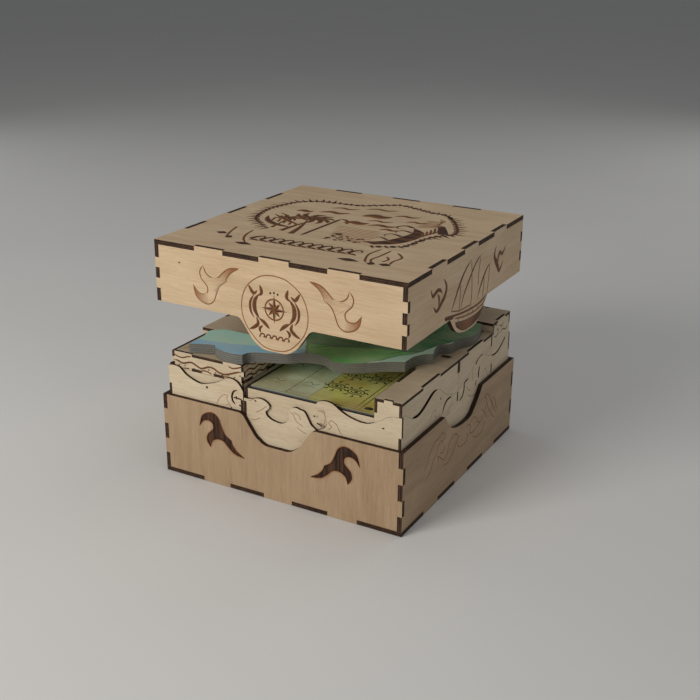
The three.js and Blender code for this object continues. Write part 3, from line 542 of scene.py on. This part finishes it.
def engrave_badge(art):
    """Eight-sided ring inside the badge tab, round a compass star held by two sprigs, over a row of
    small waves."""
    corners = [(0, 256), (15, 253.4), (30, 243.5), (37.6, 231), (40, 216), (36.5, 201), (27, 188),
               (15, 178.4), (0, 175.8), (-15, 178.4), (-27, 188), (-36.5, 201), (-40, 216), (-37.6, 231),
               (-30, 243.5), (-15, 253.4), (0, 256)]
    art.line(corners, 1.2, 0.5, "ring")
    middle = np.array([0.0, 220.0])
    for k in range(8):
        long = 15.5 if k % 2 == 0 else 10
        a = np.radians(45 * k)
        tip = middle + long * np.array([np.sin(a), np.cos(a)])
        for side in (-1, 1):
            b = a + side * np.radians(22.5)
            knee = middle + 4.6 * np.array([np.sin(b), np.cos(b)])
            art.patch([middle, (middle + tip) / 2, tip], [middle, knee, tip], 0.95 if side > 0 else 0.5, 3)
    art.ring(middle, (11, 11), 1.7, 0.7)
    sprigs = [([(31, 242), (25, 234), (20, 237.5)], 3.0), ([(17, 244), (15, 236), (19, 232)], 3.0),
              ([(18, 234), (23.5, 226), (23.5, 216), (18, 207)], 4.0),
              ([(24, 233), (29, 224), (28.6, 214), (24, 207)], 2.4),
              ([(19, 208), (12, 204), (6, 198)], 3.2), ([(22, 209), (20, 202), (25, 197), (31, 194)], 3.2),
              ([(14, 200.5), (18, 197), (17, 192)], 2.4)]
    for side in (-1, 1):
        for path, width in sprigs:
            art.line(turned(path, flip=(side, 1)), width * 1.3, 0.8, "swell")
    for k in range(-2, 3):
        curl = [(-4, -2), (-1.5, 2.2), (1.6, 2.2), (2.6, 0), (0.6, -0.8)]
        art.line(turned(curl, (7.4 * k, 189)), 1.7, 0.8)
    for k in (-1, 0, 1):
        art.dot((4.4 * k, 238 - abs(k)), 1.2, 0.85)


def engrave_ship(art):
    """Three-masted sailing ship over the hull tab: curved sails, shrouds, two rails and a dark planked
    hull."""
    sails = [([(-48, 213), (-39, 224), (-28, 238), (-14, 250), (1, 257)], 3.6),
             ([(-23, 208), (-16, 223), (1, 240), (14, 251), (28, 256.5)], 3.0),
             ([(21, 207), (30, 221), (38, 230), (46, 236.5), (55, 240)], 3.4)]
    for path, width in sails:
        art.line(path, width, 0.85, "swell")
    shrouds = [[(-27, 207), (-25.5, 222), (-26, 238)], [(3, 203), (5.5, 219), (3.5, 240), (1, 256)],
               [(22, 222), (22.5, 238), (26, 254)], [(36, 206), (38.5, 219), (38, 230)],
               [(49, 207), (51.5, 222), (53, 239)], [(-48, 214), (-27, 208.5), (-22, 208), (4, 206.5)]]
    for path in shrouds:
        art.line(path, 1.6, 0.62)
    rail = [(-63, 211.5), (-40, 207), (-12, 203), (16, 201), (34, 202), (49, 207)]
    art.line(rail, 2.6, 0.8)
    art.line([(-39, 203.5), (-12, 198), (16, 195.6), (38, 198), (48, 205)], 1.8, 0.7)
    art.line([(-63, 210), (-52, 208), (-40, 205.4)], 4.6, 0.9)
    top = [(-36, 198.2), (-12, 192.8), (12, 190.6), (30, 191.4), (42, 195.4)]
    keel = [(-33.5, 193), (-14, 183.6), (9, 181.6), (27, 184.6), (38.5, 191.5)]
    art.patch(top, keel, 0.66 + 0.1 * np.cos(np.linspace(0, 9, 33))[:, None], 6)
    art.line(top, 1.6, 1.0)
    art.line(keel, 1.6, 1.0)
    for k in range(6):
        art.line([(-29 + 13 * k, 200.6 - 0.5 * k), (-27 + 13 * k, 196.8 - 0.4 * k)], 1.4, 0.7)


SIDE_WAVES = [
    ([(-99, 252), (-94, 243.5), (-84, 246.5), (-77, 245.5), (-71, 240)], 3.6),
    ([(-69, 255), (-62, 246), (-64, 237), (-75, 229), (-84, 225), (-92, 232)], 4.4),
    ([(-83, 243), (-78.5, 236), (-80, 229)], 3.0),
    ([(70, 256), (65.5, 247), (69, 239), (76, 231), (83, 224), (93, 233)], 4.4),
    ([(82, 228), (76, 235), (81, 245), (90, 242), (99, 249)], 3.6),
    ([(68, 243), (73, 238), (80, 236)], 2.6),
]


def engrave_border(art):
    """Corded border of the lid top: a wandering line with beads along the rear and rays round both ends."""
    line = [(58, -59), (69, -55), (80, -49), (90, -43), (94, -30), (96, -12), (101, 5), (109, 18),
            (117, 27), (112, 48), (92, 82), (73, 101), (55, 103), (30, 112), (7, 117), (-15, 103),
            (-34, 91), (-61, 88), (-82, 86), (-96, 79), (-107, 68), (-115, 43), (-118, 18), (-109, -18),
            (-90, -38), (-69, -56)]
    path = flowing(line)
    art.line(path, 3.4, 0.9, smooth=False)
    places, ahead = spread(path, 7.4)
    out = np.stack([ahead[:, 1], -ahead[:, 0]], 1)
    for i, (place, run, away) in enumerate(zip(places, ahead, out)):
        at_end = place[0] < -66 or (place[0] > 86 and 4 < place[1] < 90)
        if at_end:
            art.line([place - away * 4, place + away * (9 + 3 * (i % 2)) + run * 3], 5.2, 0.95, "tail")
        elif i % 2:
            art.dot(place, 3.6, 1.0)
        else:
            art.line([place - away * 5, place, place + away * 6 + run * 3], 3.4, 0.9, "swell")


def engrave_lid_top(art):
    """Corded border round an island view: palms, clouds, a breaking wave and a boat, over a band of
    running waves."""
    engrave_border(art)
    # outrigger boat at the left
    art.line([(-101, -4), (-92, -20), (-74, -32), (-50, -36)], 8.0, 0.85, "swell")
    art.line([(-99, 6), (-84, -4), (-66, -14), (-46, -24)], 5.0, 0.75, "swell")
    art.line([(-96, 14), (-82, 6), (-70, -10)], 4.2, 0.7, "swell")
    for k in range(5):
        art.line([(-90 + 9 * k, -6 - 3.4 * k), (-86 + 9 * k, -20 - 2.6 * k)], 3.0, 0.75)
    # palms: leaning trunks with fronds
    for foot, lean, size in (((-54, -52), 10, 1.0), ((-38, -58), -16, 1.1), ((-70, -46), -8, 0.7)):
        foot = np.array(foot, float)
        top = foot + size * np.array([lean, 62])
        art.line([foot, foot + size * np.array([lean * 0.2, 20]), foot + size * np.array([lean * 0.55, 42]),
                  top],
                 6.4 * size, 0.8, "tail")
        for angle in (200, 160, 125, 60, 20, -20, -60):
            art.line(turned([(0, 0), (8, 3.4), (15, 2), (20, -3)], top, size, angle=angle), 6.0 * size, 0.8,
                     "swell")
    # long boom with its pennant
    art.line([(-25, -58), (-23, -16), (-21, 24)], 4.0, 0.9)
    art.line([(-21, 24), (-12, 21), (-5, 8)], 4.0, 0.8)
    # clouds
    clouds = [(-76, 35, 20, 9), (-42, 45, 36, 8), (9, 54, 34, 15), (2, 17, 28, 12), (34, 20, 34, 8),
              (40, 70, 30, 6), (-40, 68, 34, 5), (0, 84, 38, 5), (60, 52, 24, 5), (22, 36, 30, 5),
              (48, 8, 22, 6)]
    for u, v, long, width in clouds:
        art.line([(u - long / 2, v - long * 0.16), (u - long / 6, v + 2), (u + long / 6, v),
                  (u + long / 2, v + long * 0.2)],
                 width, 0.72, "swell")
    # sea hatching
    for k in range(9):
        v = -4 - 5.4 * k
        art.line([(-12 + 2 * k, v), (6 + 2 * k, v + 1.6), (24 + 2 * k, v - 0.6), (44 + 1.5 * k, v + 1)],
                 1.4, 0.5)
    # shells strewn on the beach
    draw = np.random.default_rng(11)
    for place, size in zip(draw.uniform((2, -56), (44, -30), (34, 2)), draw.uniform(1.2, 3.0, 34)):
        art.dot(place, size, 0.8, 0.8)
    # dark breaking wave with its curls and spray
    outer = [(44, -46), (62, -33), (72, -8), (74, 14), (66, 32)]
    inner = [(60, -50), (80, -36), (90, -8), (87, 16), (66, 32)]
    art.patch(outer, inner, 0.82 + 0.16 * np.sin(np.linspace(0, 40, 33))[:, None], 6)
    curls = [([(66, 31), (56, 35), (49, 27), (54, 20), (61, 24)], 5),
             ([(73, 12), (62, 15), (57, 7), (62, 1)], 4.4),
             ([(71, -8), (58, -3), (52, -10), (57, -17)], 4.4), ([(64, -27), (52, -21), (45, -28)], 4)]
    for path, width in curls:
        art.line(path, width, 0.95, "tail")
    for k in range(6):
        art.line([(80 + 3 * k, -22 + 8 * k), (88 + 1.6 * k, -8 + 8 * k), (84 + k, 10 + 8 * k)], 2.6, 0.75)
    for k in range(7):
        art.line([(66, 36 + 5 * k), (80 + k, 40 + 5.2 * k), (94 - 3 * k, 50 + 5 * k)], 1.8, 0.65)
    art.patch([(86, 52), (93, 38), (101, 20)], [(94, 54), (103, 40), (112, 24)], 0.9)
    # band of running waves
    for k in range(11):
        u, v = -59 + 11.6 * k, -90 + 0.4 * k
        art.line([(u - 5, v - 6), (u - 2, v + 4), (u + 3.5, v + 8), (u + 7, v + 3), (u + 2.5, v)], 6.0,
                 0.95, "tail")
        art.line([(u - 5, v - 10), (u + 1, v - 7.5), (u + 7, v - 10)], 4.6, 0.85, "swell")
    # reeds and stones at the front
    for path in ([(76, -61), (73, -84), (79, -104), (84, -112)],
                 [(87, -62), (86, -84), (84, -100), (90, -112)],
                 [(96, -66), (108, -80), (106, -96), (108, -108)], [(93, -84), (99, -92), (97, -102)],
                 [(-80, -66), (-77, -84), (-70, -100), (-60, -112)], [(-104, -62), (-98, -84), (-90, -104)]):
        art.line(path, 2.6, 0.75)
    for u, v, long in ((64, -113, 26), (90, -113, 10), (104, -110, 14), (-60, -116, 22), (-104, -92, 14),
                       (-88, -102, 10)):
        sides = [[(u - long / 2, v), (u, v + lift), (u + long / 2, v)] for lift in (5, -4)]
        art.patch(*sides, 0.9, 3)


def engrave_lid():
    """Artwork of the lid's walls and top."""
    art = Drawing("lid_front_engraving", "lid_front_wall", "front")
    engrave_wave(art, (-71.5, 234.5), (1, -1))
    engrave_wave(art, (71.5, 234.5), (-1, -1))
    engrave_badge(art)
    art.dot((-118, 252), 1.0, 1.0)
    art.make()
    art = Drawing("lid_right_engraving", "lid_right_wall", "right")
    for path, width in SIDE_WAVES:
        art.line(path, width * 1.35, 0.78, "swell")
    engrave_ship(art)
    art.make()
    art = Drawing("lid_top_engraving", "lid_top", "top")
    engrave_lid_top(art)
    art.make()


# ---- Base and trays --------------------------------------------------------------------------------------


def engrave_base():
    """Burnt halo at the front, and a line of scrolling waves on the right wall."""
    scorch_pockets()
    art = Drawing("base_right_engraving", "base_right_wall", "right")
    scrolls = [
        [(-101, 52), (-92, 60), (-84, 71), (-75, 76), (-63, 77.5), (-56, 79), (-50, 76), (-48, 72),
         (-54, 71)],
        [(-97, 39), (-85, 45), (-78, 55), (-70, 61), (-65, 67), (-59, 71), (-54, 68), (-57, 64)],
        [(-69, 44), (-63, 47), (-66, 55), (-60, 52), (-53, 46), (-47, 45), (-41, 48), (-38, 57), (-32, 62),
         (-24, 64.5), (-16, 61), (-13, 56), (-18, 51), (-24, 45), (-33, 38), (-43, 36), (-54, 39)],
        [(-60, 58), (-55, 55), (-50, 57), (-48, 63)],
        [(-14, 52), (-11, 44), (-3, 41), (6, 41), (13, 43), (14, 49), (9, 51)],
        [(9, 60), (17, 60), (22, 55), (20, 49), (27, 45), (36, 45.5), (45, 48), (54, 50)],
        [(22, 60), (28, 64), (36, 61), (41, 54), (48, 50), (56, 51), (60, 56)],
        [(29, 40), (38, 35), (48, 33.5), (58, 36), (67, 43)],
        [(51, 66), (57, 61), (64, 55), (71, 46)],
        [(66, 52), (64, 62), (68, 70), (62, 77), (68, 78), (75, 73), (80, 65), (88, 55), (101, 41)],
        [(74, 69), (71, 63), (78, 53), (88, 43), (98, 36)],
        [(84, 52), (88, 58), (82, 65), (90, 65.5), (96, 58), (99, 50), (106, 43)],
    ]
    for path in scrolls:
        art.line(path, 1.1, 0.58)
    for place in ((-8, 55), (43, 58), (62, 44), (-51, 70)):
        art.dot(place, 0.9, 0.6)
    art.make()


def engrave_trays():
    """Fine scored curls on the trays' outer walls, and dots burnt full dark where the walls are pierced:
    painted shade standing in for the holes.
    """
    art = Drawing("left_tray_engraving", "left_tray_front_wall", "front")
    art.line([(-81, 95), (-77, 103), (-71, 108.5), (-66, 108), (-67, 104.5), (-62, 98)], 0.9, 0.36)
    art.line([(-68, 97), (-65, 99), (-62, 96)], 0.8, 0.34)
    # Dots burnt full dark: painted shade standing in for holes pierced through the wall.
    for place, size in (((-93, 112.6), 1.5), ((-61, 95.6), 0.8)):
        art.dot(place, size, 1.0)
    for path in ([(-58, 108.6), (-47, 108)], [(-54, 110.6), (-54, 106.6)], [(-51, 101), (-47, 99)]):
        art.line(path, 1.8, 1.0)
    art.make()
    art = Drawing("right_tray_front_engraving", "right_tray_front_wall", "front")
    for path in ([(-30, 97), (-22, 102), (-15, 108)], [(-37, 88), (-30, 88.6), (-24, 92)],
                 [(13, 107), (18, 105), (21, 99), (30, 94)], [(22, 92), (28, 88.4), (34, 87)],
                 [(46, 116), (53, 117), (56.5, 112), (55.5, 104), (50, 96)],
                 [(58, 97), (64, 101.5), (61, 105.5), (64, 109), (70, 106), (74, 99), (78, 94)],
                 [(-37, 109), (-32, 111.6), (-28, 110)], [(18, 108.4), (24, 106), (27, 101)]):
        art.line(path, 0.9, 0.36)
    art.patch([(47, 103), (50, 102), (54, 100)], [(46, 101.6), (49.5, 100.4), (53, 98.6)], 1.0, 2)
    # Dots burnt full dark: painted shade standing in for holes pierced through the wall.
    for place in ((-29.5, 110.4), (43.5, 109.5), (124, 114.6)):
        art.dot(place, 1.3, 1.0, 0.7)
    art.make()
    art = Drawing("right_tray_side_engraving", "right_tray_right_wall", "right")
    for path in ([(-79, 99), (-73, 106), (-67, 109), (-63, 105), (-66, 102.6), (-61, 98)],
                 [(-38, 92), (-29, 96), (-22, 101), (-17, 109)], [(-34, 89), (-26, 92.4)],
                 [(16, 107), (21, 100), (31, 95)], [(20, 94), (32, 87.4), (44, 86), (49, 89)],
                 [(35, 105), (33, 113), (34, 121)], [(63, 97), (69, 108), (75, 103), (80, 95)]):
        art.line(path, 0.9, 0.36)
    # Dots burnt full dark: painted shade standing in for holes pierced through the wall.
    for place in ((-52, 116.4), (45, 101)):
        art.dot(place, 1.2, 1.0)
    art.make()


def engrave_boxes():
    """Layered waves and dots on the small box, and marks on the rear box."""
    front = [
        ([(-140, 143), (-134, 140), (-127, 139.6), (-120, 142), (-115, 143)], 1.3),
        ([(-140.6, 135), (-134, 135), (-127, 133), (-116, 136), (-109, 134), (-102, 131.6), (-93, 135),
          (-86, 135.2), (-79, 132), (-71, 131), (-62, 134), (-54, 137), (-47, 138)], 1.7),
        ([(-127, 127.4), (-118, 128.2)], 1.1),
        ([(-104, 127.6), (-99, 129.6), (-93, 129.4), (-88, 127.4)], 1.3),
        ([(-75, 127.4), (-66, 129), (-59, 127.4)], 1.1),
        ([(-66, 142), (-61, 140.2), (-54, 142), (-48, 144.4)], 1.3),
    ]
    dots = [(-132, 130.4), (-124, 130.8), (-112, 129.4), (-92, 132), (-83, 130.6), (-74, 129.8), (-66, 131.4),
            (-58, 130.2), (-51, 133.4)]
    art = Drawing("strata_front_engraving", "strata_box_front_wall", "front")
    for path, width in front:
        art.line(path, width * 1.25, 0.8)
    for place in dots:
        art.dot(place, 0.9, 0.75)
    art.make()
    art = Drawing("strata_side_engraving", "strata_box_right_wall", "right")
    for shift, width in ((0, 1.5), (-6.2, 1.7), (5.4, 1.1)):
        path = [(-140, 137), (-131, 139.4), (-121, 136), (-112, 137.6), (-103, 134.4), (-94, 137), (-83, 139)]
        art.line(np.array(path) + (0, shift), width * 1.25, 0.85)
    for place in ((-135, 127.6), (-126, 133.6), (-117, 128), (-108, 132.8), (-99, 128.4), (-90, 133.4)):
        art.dot(place, 0.9, 0.75)
    art.make()
    art = Drawing("strata_lid_engraving", "strata_box_lid", "top")
    for k in range(7):
        u = -134 + 12.5 * k
        art.line([(u - 3, -136), (u + 3, -124), (u - 2, -112), (u + 5, -99), (u, -86)], 1.2, 0.75, "swell")
    for k in range(6):
        u = -128 + 12.5 * k
        art.line([(u, -130), (u + 4, -118), (u - 1, -104), (u + 3, -92)], 0.7, 0.6)
    art.make()
    art = Drawing("rear_box_side_engraving", "rear_box_right_wall", "right")
    for path in ([(92, 141), (99, 137.6), (106, 141), (104, 146), (98, 145)],
                 [(108, 150), (116, 146), (122, 150.6)], [(112, 137), (120, 141), (130, 138), (137, 143)],
                 [(92, 150.6), (97, 153), (103, 151)]):
        art.line(path, 1.5, 0.85, "swell")
    art.make()


engrave_lid()
engrave_base()
engrave_trays()
engrave_boxes()


# ---- Printed boards --------------------------------------------------------------------------------------


def board_material(name, ink_of, card):
    """Printed card: the ink's colour comes from ink_of(wiring, place), the cut edge is layered card."""
    material, w, shader = surface(name)
    place = w.add("TexCoord").outputs
    face = w.maths("GREATER_THAN", w.maths("ABSOLUTE", w.dot(place["Normal"], (0, 0, 1))), 0.5)
    across = w.dot(place["Object"], (0, 0, 1))
    looks = w.group(PRINT, {"Ink": ink_of(w, place["Object"]), "Card": card, "Face": face,
                            "Place": place["Object"], "Across": across})
    finish_surface(w, shader, looks["Color"], looks["Roughness"], looks["Height"], 0.00012)
    return material


def player_ink(w, place):
    """Sage on the left panel, straw on the right one, with a fold shadow where they meet."""
    across = w.maths("MULTIPLY_ADD", w.noise(place, (40, 40, 40), 3), 0.0012, w.dot(place, (1, 0, 0)))
    stain = w.noise(place, (16, 22, 16), 4, 0.6)
    age = w.step(stain, 0.35, 0.7)
    sage = w.mix(age, srgb(186, 176, 126), srgb(222, 236, 208))
    straw = w.mix(age, srgb(196, 168, 62), srgb(226, 222, 104))
    base = w.mix(w.step(across, 0.0292, 0.0300), sage, straw)
    fold = w.maths("MULTIPLY", w.step(across, 0.0288, 0.0294), w.step(across, 0.0306, 0.0300))
    return w.mix(w.maths("MULTIPLY", fold, 0.6), base, srgb(74, 78, 58))


def island_ink_and_painted_glow(w, place):
    """Sea, shallows and land laid side by side, with soft wandering shores inked dark. The inks are set
    brighter than the print itself: painted light standing in for the glow on the boards under the lid.
    """
    wander = w.maths("MULTIPLY_ADD", w.noise(place, (18, 18, 18), 3, 0.6), 0.034, -0.017)
    x, y = w.dot(place, (1, 0, 0)), w.dot(place, (0, 1, 0))
    west = w.maths("ADD", w.maths("MULTIPLY_ADD", y, 0.5, x), wander)
    east = w.maths("ADD", w.maths("MULTIPLY_ADD", y, -0.55, x), wander)
    south = w.maths("ADD", w.maths("MULTIPLY_ADD", x, -0.28, y), wander)
    leaf = w.noise(place, (90, 90, 90), 4, 0.6)
    # Painted light: these inks are lifted brighter and more saturated than the print, to stand in for the
    # glow that lights the boards under the lid.
    sea = w.mix(leaf, srgb(160, 238, 222), srgb(208, 248, 236))
    blue = w.mix(leaf, srgb(118, 198, 244), srgb(172, 226, 250))
    green = w.mix(leaf, srgb(46, 188, 104), srgb(132, 218, 104))
    forest = w.mix(leaf, srgb(14, 116, 78), srgb(44, 166, 98))
    colour = w.mix(w.step(south, -0.092, -0.0935), sea, blue)
    land = w.mix(w.step(south, -0.075, -0.073), green, forest)
    colour = w.mix(w.step(west, -0.0465, -0.0455), colour, land)
    colour = w.mix(w.step(east, 0.1265, 0.1275), colour,
                   w.mix(leaf, srgb(160, 236, 208), srgb(214, 248, 232)))
    shore = w.maths("MULTIPLY", w.step(west, -0.048, -0.0465), w.step(west, -0.0435, -0.0450))
    cliff = w.maths("MULTIPLY", w.step(east, 0.1250, 0.1265), w.step(east, 0.1290, 0.1278))
    return w.mix(w.maths("MULTIPLY", w.maths("MAXIMUM", shore, cliff), 0.75), colour, srgb(22, 74, 66))


def ink_material(name, colour):
    """Printed line: flat ink, a little broken up by the paper."""
    material, w, shader = surface(name)
    place = w.add("TexCoord").outputs["Object"]
    paper = w.noise(place, (900, 900, 900), 2)
    worn = w.mix(w.maths("MULTIPLY", paper, 0.5), colour, srgb(120, 118, 84))
    finish_surface(w, shader, worn, w.maths("MULTIPLY_ADD", paper, 0.2, 0.4), paper, 0.00008)
    return material


def dress_boards():
    """Gives the boards their print and lays the drawn frames and emblems on the top player board."""
    player = board_material("player_board_print", player_ink, srgb(104, 112, 120))
    # The island print carries painted light: its inks are brightened to stand in for the glow under the lid.
    island = board_material("island_board_print", island_ink_and_painted_glow, srgb(136, 130, 118))
    for name, node in nodes.items():
        if name.startswith("player_board"):
            node.material_slots[0].material = player
        elif name.startswith("island_board"):
            node.material_slots[0].material = island
    ink = ink_material("print_ink", srgb(52, 52, 34))
    art = Drawing("player_board_print_lines", "player_board_2", "top", ink)
    for u in (84.5, 90.0):
        art.line([(u, -134), (u, 84)], 1.0, 1)
    for v in (-134.0, 84.0):
        art.line([(-38, v), (110, v)], 0.5, 1)
    for k in range(40):
        art.line([(1, -132 + 5.3 * k), (1, -128.6 + 5.3 * k)], 1.0, 1)
    for u, v in ((40, -92), (66, -96), (44, -56), (72, -52), (50, -18), (74, 20), (44, 44)):
        art.ring((u, v), (9.5, 6.4), 1.5, 1)
        art.ring((u, v), (5.6, 3.4), 1.3, 1)
        art.dot((u, v), 2.2, 1)
        for angle in range(0, 360, 45):
            art.line(turned([(9, 0), (12, 2), (14.5, -1)], (u, v), angle=angle), 2.0, 1, "swell")
    art.dot((98, -127), 5.2, 1, 0.7)
    for u, v in ((-24, -108), (14, -100), (-22, -60), (14, -40)):
        art.line([(u - 9, v - 3), (u - 3, v + 3), (u + 3, v - 2), (u + 9, v + 3)], 0.7, 1)
        art.line([(u - 8, v - 8), (u, v - 6), (u + 8, v - 8)], 0.5, 1)
    art.make()
    ink = ink_material("map_ink", srgb(18, 66, 62))
    art = Drawing("island_board_print_lines", "island_board_5", "top", ink)
    for path in ([(2, -84), (16, -72), (30, -62), (46, -55), (58, -40)],
                 [(46, -55), (40, -34), (46, -12), (38, 12)],
                 [(-42, -24), (-20, -30), (4, -26), (24, -38), (42, -34)],
                 [(84, -60), (98, -40), (112, -34)], [(60, 8), (84, 4), (104, 10), (128, 6)],
                 [(-38, 30), (-8, 22), (24, 34), (52, 30), (60, 8)], [(52, 30), (58, 54), (50, 78)],
                 [(96, 12), (102, 40), (94, 64), (100, 82)]):
        art.line(path, 0.8, 1)
    for u, v in ((20, -50), (60, -24), (0, -2), (24, 56), (82, 32), (-20, 44)):
        for k in range(3):
            art.line([(u - 5 + 4 * k, v), (u - 3 + 4 * k, v + 4.5), (u - 1 + 4 * k, v)], 0.7, 1)
    art.make()


dress_boards()


# ---- Floor, light and camera -----------------------------------------------------------------------------


FLOOR_RADIUS = 14.0
FLOOR_DROP = 0.0003
CAMERA_DEGREES = (29.01, 21.28, 0.476)
CAMERA_PLACE = (0.5725, -1.0234, 0.5827)
LENS_MM = 55.95
SENSOR_MM = 36


def make_floor():
    """Pale floor: a disc whose rings spread as the square of their share, a hair below the box's feet."""
    turns, rings = 64, 12
    a = np.arange(turns) / turns * 2 * np.pi
    r = FLOOR_RADIUS * (np.arange(1, rings + 1) / rings) ** 2
    flat = np.stack([r[:, None] * np.cos(a), r[:, None] * np.sin(a), np.full((rings, turns), -FLOOR_DROP)], 2)
    i, j = np.meshgrid(np.arange(rings - 1), np.arange(turns), indexing="ij")
    nxt = (j + 1) % turns
    corners = np.stack([i * turns + j, (i + 1) * turns + j, (i + 1) * turns + nxt, i * turns + nxt], 2)
    quads = corners.reshape(-1, 4)
    mesh = bpy.data.meshes.new("studio_floor")
    mesh.from_pydata(flat.reshape(-1, 3).tolist(), [], quads.tolist() + [list(range(turns))])
    material, w, shader = surface("studio_floor")
    place = w.add("TexCoord").outputs["Object"]
    soft = w.noise(place, (3, 3, 3), 2)
    w.tree.links.new(w.mix(soft, srgb(228, 227, 224), srgb(222, 221, 219)), shader.inputs["Base Color"])
    shader.inputs["Roughness"].default_value = 0.8
    mesh.materials.append(material)
    floor = bpy.data.objects.new("studio_floor", mesh)
    bpy.context.scene.collection.objects.link(floor)


def make_light(name, place, target, size, watts, colour):
    """Soft square light that looks at its target."""
    light = bpy.data.lights.new(name, "AREA")
    light.shape, light.size, light.energy, light.color = "SQUARE", size, watts, colour
    lamp = bpy.data.objects.new(name, light)
    lamp.location = place
    lamp.rotation_euler = (Vector(target) - Vector(place)).to_track_quat("-Z", "Y").to_euler()
    bpy.context.scene.collection.objects.link(lamp)


def make_studio():
    """Front key, weak right fill, soft top, low lights at the left and rear, and a pale grey surround."""
    middle = (0, 0, 0.13)
    make_light("key_light", (-0.75, -1.9, 0.95), middle, 1.0, 30, (1.0, 0.97, 0.92))
    make_light("fill_light", (2.0, -0.7, 0.9), middle, 1.4, 4.5, (0.97, 0.98, 1.0))
    make_light("top_light", (0.2, 0.3, 2.2), middle, 1.6, 6.0, (1.0, 0.99, 0.97))
    make_light("left_light", (-2.3, 0.4, 0.7), middle, 1.2, 5, (0.98, 0.98, 1.0))
    make_light("rear_light", (0.9, 2.3, 0.7), middle, 1.2, 6, (0.98, 0.98, 1.0))
    world = bpy.data.worlds.new("studio")
    world.use_nodes = True
    background = world.node_tree.nodes["Background"]
    background.inputs["Color"].default_value = (0.86, 0.88, 0.9, 1)
    background.inputs["Strength"].default_value = 0.16
    bpy.context.scene.world = world
    bpy.context.scene.view_settings.view_transform = "Standard"


def make_camera():
    """Camera from the front right, above: turned by its azimuth, elevation and a slight roll."""
    azimuth, elevation, roll = np.radians(CAMERA_DEGREES)
    back = np.array([np.sin(azimuth) * np.cos(elevation), -np.cos(azimuth) * np.cos(elevation),
                     np.sin(elevation)])
    level = np.array([np.cos(azimuth), np.sin(azimuth), 0])
    upward = np.cross(back, level)
    right = np.cos(roll) * level + np.sin(roll) * upward
    up = np.cos(roll) * upward - np.sin(roll) * level
    lens = bpy.data.cameras.new("camera")
    lens.lens, lens.sensor_width = LENS_MM, SENSOR_MM
    camera = bpy.data.objects.new("camera", lens)
    turn = Matrix((right, up, back)).transposed().to_4x4()
    camera.matrix_world = Matrix.Translation(CAMERA_PLACE) @ turn
    bpy.context.scene.collection.objects.link(camera)
    bpy.context.scene.camera = camera


make_floor()
make_studio()
make_camera()
